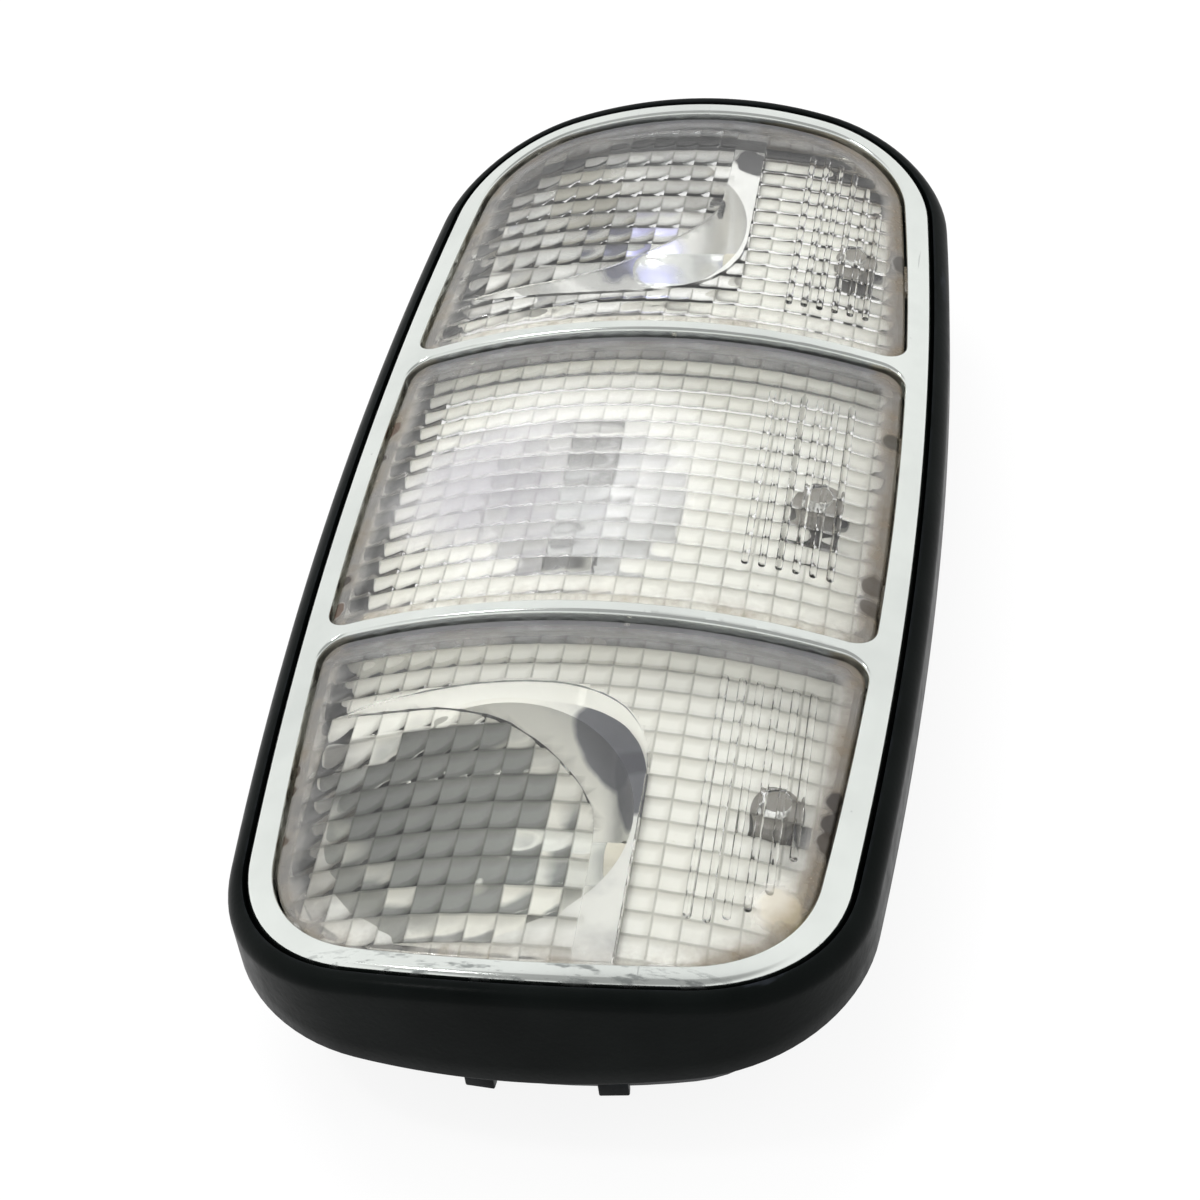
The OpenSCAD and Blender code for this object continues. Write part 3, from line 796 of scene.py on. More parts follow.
@dataclass(frozen=True)
class Patch:
    """A round patch in a finish.

    Attributes:
        place: Its middle, in millimetres.
        radius: Its radius, in millimetres.
        soft: Width of its soft edge, in millimetres.
        colour: Its colour.
        share: How much of the finish it covers.
        wobble: How far its edge wanders, in millimetres.
        solid: How opaque it makes clear plastic.
        matt: How matt it makes polished metal.
    """

    place: tuple
    radius: float
    soft: float
    colour: tuple
    share: float = 1.0
    wobble: float = 1.0
    solid: float = 0.7
    matt: float = 0.0


@dataclass(frozen=True)
class Finish:
    """A finish: its slot in the record and the material it builds once."""

    slot: str = "black_plastic"

    def draw(self, sheet: Sheet) -> None:
        """Fills the node sheet; each finish has its own."""
        raise NotImplementedError

    def material(self) -> bpy.types.Material:
        """The finish's material, made at its first use.

        Returns:
            The material.
        """
        name = type(self).__name__ + "_" + self.slot + getattr(self, "mark", "")
        made = bpy.data.materials.get(name)
        if made is None:
            sheet = Sheet(name)
            self.draw(sheet)
            made = sheet.material
        return made


@dataclass(frozen=True)
class Moulded(Finish):
    """Moulded plastic with mottling, fine grain and edges rubbed by handling."""

    colour: tuple = rgb(0.0022, 0.0030, 0.0028)
    other: tuple = rgb(0.0045, 0.0058, 0.0055)
    edge: tuple = rgb(0.012, 0.014, 0.017)
    rough: float = 0.33
    spread: float = 0.1
    grain: float = 1500.0
    depth: float = 0.00002
    gloss: float = 0.5
    patches: tuple = ()

    def draw(self, sheet: Sheet) -> None:
        """Colour from broad mottling, worn edges and patches of painted shade, roughness from finer mottling, grain as
        relief.

        Args:
            sheet: The finish's node sheet.
        """
        mottle = sheet.noise(60, 4)
        fine = sheet.noise(420, 5, 0.6)
        worn = sheet.span(sheet.node("NewGeometry").outputs["Pointiness"], 0.52, 0.6)
        base = sheet.mix(sheet.span(mottle, 0.35, 0.65), self.colour, self.other)
        colour = sheet.mix(sheet.times(worn, sheet.span(fine, 0.35, 0.6)), base, self.edge)
        rough = sheet.span(fine, 0.3, 0.7, self.rough - self.spread / 2, self.rough + self.spread / 2)
        for patch in self.patches:
            mask = sheet.patch(patch)
            colour = sheet.mix(mask, colour, patch.colour)
            rough = sheet.maths("SUBTRACT", rough, sheet.times(mask, self.rough * 0.6))
        sheet.look(Specular_IOR_Level=self.gloss, Base_Color=colour, Roughness=rough)
        sheet.bump(sheet.noise(self.grain, 2), self.depth)


@dataclass(frozen=True)
class Plated(Finish):
    """Bright plating with hairline scratches, specks and scuffs."""

    slot: str = "frame_chrome"
    colour: tuple = rgb(0.80, 0.835, 0.80)
    dull: tuple = rgb(0.34, 0.36, 0.35)
    rough: float = 0.17
    scratch: float = 0.5
    speck: float = 0.8
    scuff_from: float = -0.0775
    scuff_full: float = -0.0795

    def draw(self, sheet: Sheet) -> None:
        """Colour and gloss from haze, scratches along two directions, pin specks and end scuffs.

        Args:
            sheet: The finish's node sheet.
        """
        haze = sheet.noise(45, 5, 0.6)
        hair = sheet.noise(1.0, 2, 0.5, sheet.mapped((1500, 45, 300), 0.5))
        hair2 = sheet.noise(1.0, 2, 0.5, sheet.mapped((1300, 60, 300), -0.9))
        lines = sheet.times(sheet.most(sheet.span(hair, 0.74, 0.78), sheet.span(hair2, 0.75, 0.79)), self.scratch)
        speck = sheet.times(
            sheet.span(sheet.spots(330), 0.07, 0.045),
            sheet.span(sheet.noise(120, 2), 0.55, 0.62, 0, self.speck))
        near = sheet.span(sheet.made("SeparateXYZ", 1, {0: sheet.place}), self.scuff_from, self.scuff_full)
        blotch = sheet.noise(1.0, 5, 0.65, sheet.mapped((260, 900, 300)))
        scuff = sheet.times(near, sheet.span(blotch, 0.53, 0.62))
        mark = sheet.most(sheet.most(lines, speck), scuff)
        tone = sheet.mix(sheet.span(haze, 0.35, 0.7, 0.0, 0.25), self.colour, self.dull)
        rough = sheet.span(haze, 0.3, 0.7, self.rough - 0.04, self.rough + 0.05)
        sheet.look(
            Metallic=1.0,
            Base_Color=sheet.mix(mark, tone, self.dull),
            Roughness=sheet.maths("ADD", rough, sheet.times(mark, 0.25)),
        )
        sheet.bump(sheet.noise(260, 3), 0.00001, 0.4)


@dataclass(frozen=True)
class ClearMoulding(Finish):
    """Clear lens plastic that lets the lamps through, with dust, grime in its margins, and painted shade along and
    inside its cells, at its far edge, along its sides and in its margin slits.
    """

    slot: str = "clear_lens"
    tint: tuple = rgb(0.99, 0.995, 0.98)
    # Of these colours, all but tint and grime are painted shade: along the cell lines, at the far edge, along the sides
    # and inside each cell; grime is dirt.
    valley: tuple = rgb(0.24, 0.24, 0.215)
    grime: tuple = rgb(0.30, 0.25, 0.17)
    cell_lines: tuple = (("cell_u", 0.06, 0.7, 0.6), ("cell_v", 0.09, 0.6, 0.85))
    band: tuple = rgb(0.17, 0.172, 0.185)
    side: tuple = rgb(0.20, 0.165, 0.12)
    shade: tuple = rgb(0.40, 0.38, 0.33)
    patches: tuple = ()

    def draw(self, sheet: Sheet) -> None:
        """Clear plastic with painted shade along the cell lines and inside each cell, brown grime clouding the margins,
        a painted dark strip with painted glints along the far edge, and painted shade along the sides.

        Args:
            sheet: The finish's node sheet.
        """
        # Painted shade: dark lines along the cell lines and the step line, and a soft darkening inside each cell
        # towards its lines.
        lines = soft = 0.0
        for name, width, start, deep in self.cell_lines:
            share = sheet.maths("FRACT", sheet.layer(name))
            soft = sheet.most(soft, sheet.span(share, start, 1.0, 0.0, deep))
            away = sheet.maths("ABSOLUTE", sheet.maths("SUBTRACT", share, 0.5))
            lines = sheet.most(lines, sheet.span(away, 0.5 - width, 0.5 - width * 0.35))
        inside = sheet.layer("cell_side")
        lines = sheet.most(sheet.times(lines, inside), sheet.layer("step_line"))
        cloud = sheet.noise(180, 5, 0.6)
        grime_film_and_shade = sheet.times(sheet.layer("margin"), sheet.span(cloud, 0.40, 0.62))
        dust = sheet.times(
            sheet.span(sheet.spots(420), 0.06, 0.04, 0, 0.5), sheet.span(sheet.noise(90, 2), 0.58, 0.66))
        share = sheet.times(lines, sheet.span(cloud, 0.3, 0.7, 0.55, 1.0))
        colour = sheet.mix(sheet.times(soft, inside), self.tint, self.shade)
        colour = sheet.mix(share, colour, self.valley)
        colour = sheet.mix(sheet.times(grime_film_and_shade, 0.85), colour, self.grime)
        colour = sheet.mix(dust, colour, self.grime)
        # Painted dark strip of shade along the far edge, broken by lighter spots that paint glints; it also clouds the
        # plastic.
        painted_glints = sheet.span(sheet.spots(300), 0.12, 0.08, 0, 0.75)
        top = sheet.times(sheet.layer("far_band"), sheet.maths("SUBTRACT", 0.95, painted_glints))
        colour = sheet.mix(top, colour, self.band)
        grime_film_and_shade = sheet.most(grime_film_and_shade, sheet.times(top, 1.2))
        # Painted shade of the side walls along the lens's sides, brown and partly solid.
        edge = sheet.times(sheet.layer("side_band"), sheet.span(cloud, 0.3, 0.6, 0.6, 0.98))
        colour = sheet.mix(edge, colour, self.side)
        solid = sheet.times(edge, 0.3)
        # Patches; the near-black ones along the window margins are painted shade in the slits there.
        for patch in self.patches:
            mask = sheet.patch(patch)
            colour = sheet.mix(mask, colour, patch.colour)
            grime_film_and_shade = sheet.most(grime_film_and_shade, mask)
            solid = sheet.most(solid, sheet.times(mask, patch.solid))
        clear = sheet.maths("SUBTRACT", 1.0, sheet.times(grime_film_and_shade, 0.3))
        rough = sheet.span(cloud, 0.35, 0.75, 0.0, 0.05)
        sheet.look(
            Base_Color=colour,
            IOR=1.49,
            Transmission_Weight=sheet.maths("SUBTRACT", clear, solid),
            Roughness=sheet.maths("ADD", rough, sheet.times(grime_film_and_shade, 0.25)),
        )
        sheet.bump(sheet.noise(90, 2), 0.00002, 0.3)
        sheet.pass_shadow(rgb(1.0, 1.0, 0.985))


@dataclass(frozen=True)
class Reflector(Finish):
    """Vacuum-metallised bowl with haze, cloudy dull patches, fine ripples and round patches of painted reflection."""

    slot: str = "reflector_chrome"
    colour: tuple = rgb(0.72, 0.72, 0.75)
    dull: tuple = rgb(0.32, 0.32, 0.34)
    rough: float = 0.12
    patches: tuple = ()
    mark: str = ""
    floor: float = 0.0

    def draw(self, sheet: Sheet) -> None:
        """Bright metal with cloudy dull patches, round patches of painted reflection and a faint ripple.

        Args:
            sheet: The finish's node sheet.
        """
        cloud = sheet.noise(75, 5, 0.6)
        streak = sheet.noise(1.0, 3, 0.5, sheet.mapped((500, 60, 200), 0.7))
        dull = sheet.most(sheet.span(cloud, 0.48, 0.72, 0, 0.6), sheet.span(streak, 0.68, 0.74, 0, 0.5))
        colour = sheet.mix(dull, self.colour, self.dull)
        rough = sheet.span(cloud, 0.3, 0.7, self.rough - 0.03, self.rough + 0.05)
        rough = sheet.maths("ADD", rough, sheet.times(dull, 0.1))
        metal = sheet.span(cloud, 0.3, 0.7, 1.0 - self.floor, 1.0 - self.floor / 2)
        # Each patch paints a reflection into the colour, and makes the metal rougher and, by its matt share, less
        # metallic.
        for patch in self.patches:
            mask = sheet.patch(patch)
            colour = sheet.mix(mask, colour, patch.colour)
            rough = sheet.maths("ADD", rough, sheet.times(mask, 0.25))
            metal = sheet.times(metal, sheet.maths("SUBTRACT", 1.0, sheet.times(mask, patch.matt)))
        sheet.look(Metallic=metal, Base_Color=colour, Roughness=rough)
        sheet.bump(sheet.noise(110, 2), 0.00003, 0.4)


@dataclass(frozen=True)
class Metal(Finish):
    """Bare or plated small metal with a brushed grain."""

    slot: str = "screw_steel"
    colour: tuple = rgb(0.5, 0.5, 0.49)
    stain: tuple = rgb(0.2, 0.18, 0.15)
    rough: float = 0.3

    def draw(self, sheet: Sheet) -> None:
        """Metal colour with stains, uneven gloss and a brushed grain.

        Args:
            sheet: The finish's node sheet.
        """
        cloud = sheet.noise(240, 4, 0.6)
        sheet.look(
            Metallic=1.0,
            Base_Color=sheet.mix(sheet.span(cloud, 0.45, 0.75, 0, 0.8), self.colour, self.stain),
            Roughness=sheet.span(cloud, 0.3, 0.7, self.rough - 0.08, self.rough + 0.12),
        )
        sheet.bump(sheet.noise(1.0, 2, 0.5, sheet.mapped((3000, 300, 300))), 0.00002, 0.5)


@dataclass(frozen=True)
class BulbGlass(Finish):
    """Clear bulb glass, faintly grey from use, that lets the lamps through."""

    slot: str = "bulb_glass"
    clear: tuple = rgb(0.95, 0.97, 0.98)
    grey: tuple = rgb(0.8, 0.82, 0.84)

    def draw(self, sheet: Sheet) -> None:
        """Thin clear glass with a light haze.

        Args:
            sheet: The finish's node sheet.
        """
        haze = sheet.noise(300, 3)
        sheet.look(
            Base_Color=sheet.mix(sheet.span(haze, 0.4, 0.7), self.clear, self.grey),
            Transmission_Weight=1.0,
            IOR=1.45,
            Roughness=sheet.span(haze, 0.4, 0.7, 0.0, 0.08),
        )
        sheet.bump(haze, 0.00001, 0.3)
        sheet.pass_shadow(rgb(0.9, 0.9, 0.9))


BLACK = Moulded(gloss=0.03)
COVER = Moulded(slot="cover_plastic", colour=rgb(0.014, 0.015, 0.016), other=rgb(0.026, 0.028, 0.03), rough=0.5)
DARK = Moulded(
    slot="dark_plastic", colour=rgb(0.17, 0.16, 0.145), other=rgb(0.23, 0.215, 0.19),
    edge=rgb(0.26, 0.25, 0.23), rough=0.5,
)
TRAY = Moulded(
    slot="tray_plastic", colour=rgb(0.88, 0.88, 0.84), other=rgb(0.84, 0.835, 0.78), edge=rgb(0.9, 0.9, 0.87),
    rough=0.5, grain=900.0, depth=0.00003,
    patches=(
        # Painted grey-lilac shade on the tray beside the dish.
        Patch((-16, 5, 20), 11.5, 5.0, rgb(0.42, 0.41, 0.45), 0.8, 3.0),
    ),
)
HOLDER = Moulded(
    slot="holder_plastic", colour=rgb(0.66, 0.63, 0.54), other=rgb(0.58, 0.55, 0.46),
    edge=rgb(0.72, 0.7, 0.62), rough=0.5,
)
BOARD = Moulded(
    slot="board_green", colour=rgb(0.03, 0.15, 0.07), other=rgb(0.045, 0.19, 0.09),
    edge=rgb(0.3, 0.28, 0.15), rough=0.35,
)
FRAME_CHROME = Plated()
LENS = ClearMoulding(
    patches=(
        Patch((-7.0, -1.0, 27.0), 17.0, 10.0, rgb(0.86, 0.855, 0.865), 0.42, 3.0, 0.0),
        Patch((-21.0, -3.0, 25.5), 9.0, 7.0, rgb(0.6, 0.59, 0.63), 0.5, 3.0, 0.0),
        # Painted shade: near-black patches in the slits along the window margins.
        Patch((-31.5, -49.0, 22.0), 1.0, 0.4, rgb(0.025, 0.014, 0.007), 0.95, 0.5),
        Patch((-31.3, -52.5, 22.0), 0.9, 0.4, rgb(0.025, 0.014, 0.007), 0.95, 0.5),
        Patch((-30.4, -60.0, 22.0), 1.0, 0.4, rgb(0.032, 0.017, 0.007), 0.9, 0.5),
        Patch((31.6, -50.5, 22.0), 1.9, 0.6, rgb(0.021, 0.017, 0.014), 0.95, 0.5),
        Patch((31.2, -53.5, 22.0), 2.0, 0.6, rgb(0.021, 0.017, 0.014), 0.95, 0.5),
        Patch((30.8, -56.5, 22.0), 1.7, 0.6, rgb(0.028, 0.021, 0.014), 0.95, 0.5),
        Patch((27.0, -66.5, 23.0), 3.0, 2.0, rgb(0.42, 0.36, 0.24), 0.6, 1.4),
        Patch((33.0, 12.0, 22.0), 1.6, 0.6, rgb(0.028, 0.025, 0.017), 0.9, 0.6),
        Patch((32.6, -15.5, 22.0), 1.8, 0.6, rgb(0.032, 0.025, 0.017), 0.9, 0.7),
        Patch((32.4, -19.0, 22.0), 1.9, 0.6, rgb(0.032, 0.025, 0.017), 0.9, 0.7),
        Patch((31.6, 50.0, 22.0), 2.0, 0.7, rgb(0.028, 0.025, 0.021), 0.9, 0.5),
        Patch((-33.2, 12.5, 21.9), 1.2, 0.5, rgb(0.056, 0.028, 0.014), 0.95, 0.6),
        Patch((-33.3, 7.0, 21.9), 1.0, 0.5, rgb(0.017, 0.01, 0.007), 0.95, 0.6),
        Patch((-33.3, -17.0, 21.9), 1.2, 0.5, rgb(0.017, 0.01, 0.007), 0.95, 0.7),
        Patch((-33.2, -22.0, 21.9), 1.4, 0.6, rgb(0.056, 0.028, 0.014), 0.95, 0.7),
    ),
)
# Dish patches: painted lilac and grey reflections.
DISH_CHROME = Reflector(
    mark="_dish", rough=0.4, colour=rgb(0.93, 0.93, 0.92), dull=rgb(0.7, 0.7, 0.7),
    patches=(
        Patch((-14, 5, 16), 6.0, 5.0, rgb(0.5, 0.47, 0.56), 0.7, 2.0),
        Patch((-3, 9, 15), 3.5, 4.0, rgb(0.33, 0.33, 0.37), 0.6, 2.0),
    ),
)
# Near bowl patches: a painted matt beige zone, a painted dark reflected disc and painted dark reflections at its upper
# right.
NEAR_CHROME = Reflector(
    mark="_near", rough=0.3, colour=rgb(0.86, 0.86, 0.82),
    patches=(
        Patch((-10.5, -46.5, 11.0), 16.0, 3.0, rgb(0.84, 0.83, 0.77), 0.85, 0.4, matt=0.85),
        Patch((-14.4, -46.2, 10.3), 12.5, 1.2, rgb(0.25, 0.26, 0.25), 0.95, 0.4),
        Patch((-24.5, -49.0, 13.5), 6.5, 1.2, rgb(0.25, 0.26, 0.25), 0.95, 0.4),
        Patch((5.9, -42.2, 21.7), 6.3, 0.8, rgb(0.10, 0.105, 0.13), 0.93, 0.3),
        Patch((8.2, -49.6, 21.2), 4.9, 0.8, rgb(0.10, 0.105, 0.13), 0.93, 0.3),
    ),
)
# Far bowl patches: painted brown and dark navy reflections, a painted violet highlight glow and a painted dark block.
FAR_CHROME = Reflector(
    mark="_far", rough=0.17, floor=0.26, colour=rgb(0.9, 0.9, 0.89), dull=rgb(0.6, 0.6, 0.6),
    patches=(
        Patch((-16.7, 70.0, 16.6), 5.5, 3.0, rgb(0.42, 0.39, 0.30), 0.7),
        Patch((-11.9, 65.6, 9.7), 3.6, 1.5, rgb(0.07, 0.075, 0.15), 0.85),
        Patch((-6.0, 66.1, 10.1), 3.8, 3.0, rgb(0.55, 0.55, 0.95), 0.7),
        Patch((8.2, 72.4, 22.1), 2.6, 0.6, rgb(0.06, 0.06, 0.065), 1.0),
    ),
)
BRASS = Metal(slot="contact_brass", colour=rgb(0.62, 0.46, 0.2), stain=rgb(0.25, 0.16, 0.07), rough=0.32)
STEEL = Metal()
TIN = Metal(slot="screw_steel", colour=rgb(0.74, 0.74, 0.72), stain=rgb(0.4, 0.4, 0.38), rough=0.3)
SPRING = Metal(slot="spring_steel", colour=rgb(0.36, 0.37, 0.39), stain=rgb(0.12, 0.11, 0.1), rough=0.28)
GLASS = BulbGlass()


@dataclass
class BaseHousing:
    """Black moulded base: rounded rim, skirt, ledge, rear box, snap tabs and hinge cradles.

    Attributes:
        tab: Width, thickness and height of a snap tab.
        cradle: Inset, half width, depth in the floor and top below the hinge axis.
        plug: Place across and along, width, height and lower edge of the inlet's opening.
    """

    shape: LampShape
    rim_w: float = 2.5
    gap: float = 0.45
    rim_round: float = 1.5
    rim_drop: float = 0.15
    ledge_w: float = 1.4
    rear_inset: float = 6.5
    rear_wall: float = 1.8
    cover_t: float = 2.3
    ledge_drop: float = 3.3
    ease: float = 0.35
    tab: tuple = (3.5, 1.2, 6.5)
    tab_half_pitch: float = 8.25
    cradle: tuple = (0.7, 2.0, 0.8, 1.05)
    plug: tuple = (11.0, 71.0, 15.1, 8.1, 3.55)

    def rows(self) -> list[Array]:
        """Rings of the housing's section, from the skirt's lower edge round to its underside.

        Returns:
            Rings of points in millimetres, all of the same length.
        """
        outline, s = self.shape.face_outline(), self.shape
        rear, ease = -self.rear_inset, self.ease
        inside = rear - self.rear_wall
        skirt = [
            (self.rim_w - ease, s.seat_z), (self.rim_w - 0.3 * ease, s.seat_z + 0.3 * ease),
            (self.rim_w, s.seat_z + ease), (self.rim_w, s.seat_z + 3.0),
        ]
        rim = [(self.rim_w, self.rim_drop + self.rim_round + 0.6)]
        for a in np.radians(np.arange(0, 91, 9)):
            rim.append((
                self.rim_w - self.rim_round * (1 - math.cos(a)),
                self.rim_drop + self.rim_round * (1 - math.sin(a)),
            ))
        rim += [
            (self.gap + 0.2, self.rim_drop), (self.gap + 0.06, self.rim_drop + 0.06),
            (self.gap, self.rim_drop + 0.2), (self.gap, self.ledge_drop), (-self.ledge_w, self.ledge_drop),
        ]
        box = [
            (-self.ledge_w, s.floor_z), (inside, s.floor_z), (inside, self.cover_t), (rear - 0.3, self.cover_t),
            (rear, self.cover_t + 0.3), (rear, s.seat_z - 0.4), (rear + 0.4, s.seat_z),
        ]
        return (
            [level(outline.at(offset), height) for offset, height in skirt]
            + [s.sunk(outline.at(offset), drop) for offset, drop in rim]
            + [level(outline.at(offset), height) for offset, height in box]
        )

    def add_tabs(self, housing: Piece) -> None:
        """Joins the two snap tabs of the near end, which follow the end's arc.

        Args:
            housing: The housing, changed in place.
        """
        w, t, h = self.tab
        s = self.shape
        reach = s.end_r - self.rear_inset
        turn = math.asin(self.tab_half_pitch / s.end_r)
        for side in (-1, 1):
            tab = Bench.block("snap_tab", (-w / 2, -reach - t / 2, 0.0), (w / 2, -reach + t / 2, h), 0.2)
            spin = Matrix.Rotation(turn * side, 4, "Z")
            tab.data.transform(Matrix.Translation((0, (s.end_r - s.half_l) * MM, 0)) @ spin)
            Bench.combine(housing, Cut.JOIN, tab)

    def add_cradles(self, housing: Piece) -> None:
        """Joins the blocks that carry the lenses' hinge ears.

        Args:
            housing: The housing, changed in place.
        """
        s = self.shape
        inset, half, sink, below = self.cradle
        for y in (y for place in Place for y in s.ears(place)):
            x, z = s.ear_axis(y)
            low = (inset - s.face_edge(y), y - half, s.floor_z - sink)
            Bench.combine(housing, Cut.JOIN, Bench.block("cradle", low, (x + s.ear_r, y + half, z - below), 0.15))

    def build(self) -> None:
        """Models the housing and hands it over."""
        housing = Bench.ring_solid("base_shell", self.rows(), closed=True)
        self.add_tabs(housing)
        self.add_cradles(housing)
        x, y, w, h, low = self.plug
        opening = Bench.block("plug_opening", (x - w / 2, y, low), (x + w / 2, y + 12, low + h))
        Bench.combine(housing, Cut.REMOVE, opening)
        Bench.smooth(housing, 35)
        Bench.hand_over(housing, BLACK, "lamp", "base_housing")


@dataclass
class ChromeFrame:
    """One-piece chromed frame with two cross bars and eased edges.

    Attributes:
        centre_rows: Shares at which the plate's rings close in on its middle.
        peg: Inset, reach below the frame, length and radius of a locating peg.
    """

    shape: LampShape
    outer_round: float = 0.8
    inner_round: float = 0.55
    centre_rows: tuple = (0.93, 0.85, 0.74, 0.6, 0.45, 0.3, 0.15)
    peg: tuple = (0.7, 2.4, 4.0, 0.5)

    def plate(self) -> Piece:
        """The crowned plate before its windows are cut.

        Returns:
            The new object.
        """
        s, outline, r = self.shape, self.shape.face_outline(), self.outer_round
        rings = [(0, s.frame_t, share) for share in self.centre_rows[::-1]]
        rings += [(0, s.frame_t, 1.0), (0, r + 0.5, 1.0)]
        rings += [(r * math.cos(a) - r, r - r * math.sin(a), 1.0) for a in np.radians(np.arange(9) * 11.25)]
        rings += [(-r - 0.6, 0, 1.0)]
        rings += [(-r, 0, share) for share in self.centre_rows]
        return Bench.ring_solid("bezel", [s.sunk(outline.at(offset) * share, drop) for offset, drop, share in rings])

    def window_cutter(self, place: Place) -> Piece:
        """Cutter of one window, flared at the top so the window's edge comes out rounded.

        Args:
            place: Which of the three windows.

        Returns:
            The new object.
        """
        s, outline, r = self.shape, self.shape.window_outline(place), self.inner_round
        wall = [(0, s.frame_t + 2), (0, r + 0.4)]
        wall += [(r * (1 - math.cos(a)), r * (1 - math.sin(a))) for a in np.radians(np.arange(7) * 15.0)]
        wall += [(r + 0.02, -0.2)]
        rows = [s.sunk(outline.at(offset), drop) for offset, drop in wall]
        return Bench.ring_solid("window_cutter", [
            level(outline.at(0), 8.0), *rows, level(outline.at(r + 0.02), s.crest_z + 3)])

    def build(self) -> None:
        """Cuts the windows, adds the pegs and hands the frame over."""
        s, bezel = self.shape, self.plate()
        Bench.combine(bezel, Cut.REMOVE, *(self.window_cutter(place) for place in Place))
        inset, down, length, radius = self.peg
        x = s.face_edge(s.bar_y) - inset
        low = s.height(x, s.bar_y) - s.frame_t - down
        for sx, sy in ((-1, -1), (-1, 1), (1, -1), (1, 1)):
            start = (sx * x, sy * s.bar_y, low)
            peg = Bench.rod("peg", start, (start[0], start[1], low + length), radius, 16)
            Bench.combine(bezel, Cut.JOIN, peg)
        Bench.smooth(bezel, 32)
        Bench.hand_over(bezel, FRAME_CHROME, "lamp", "chrome_frame")


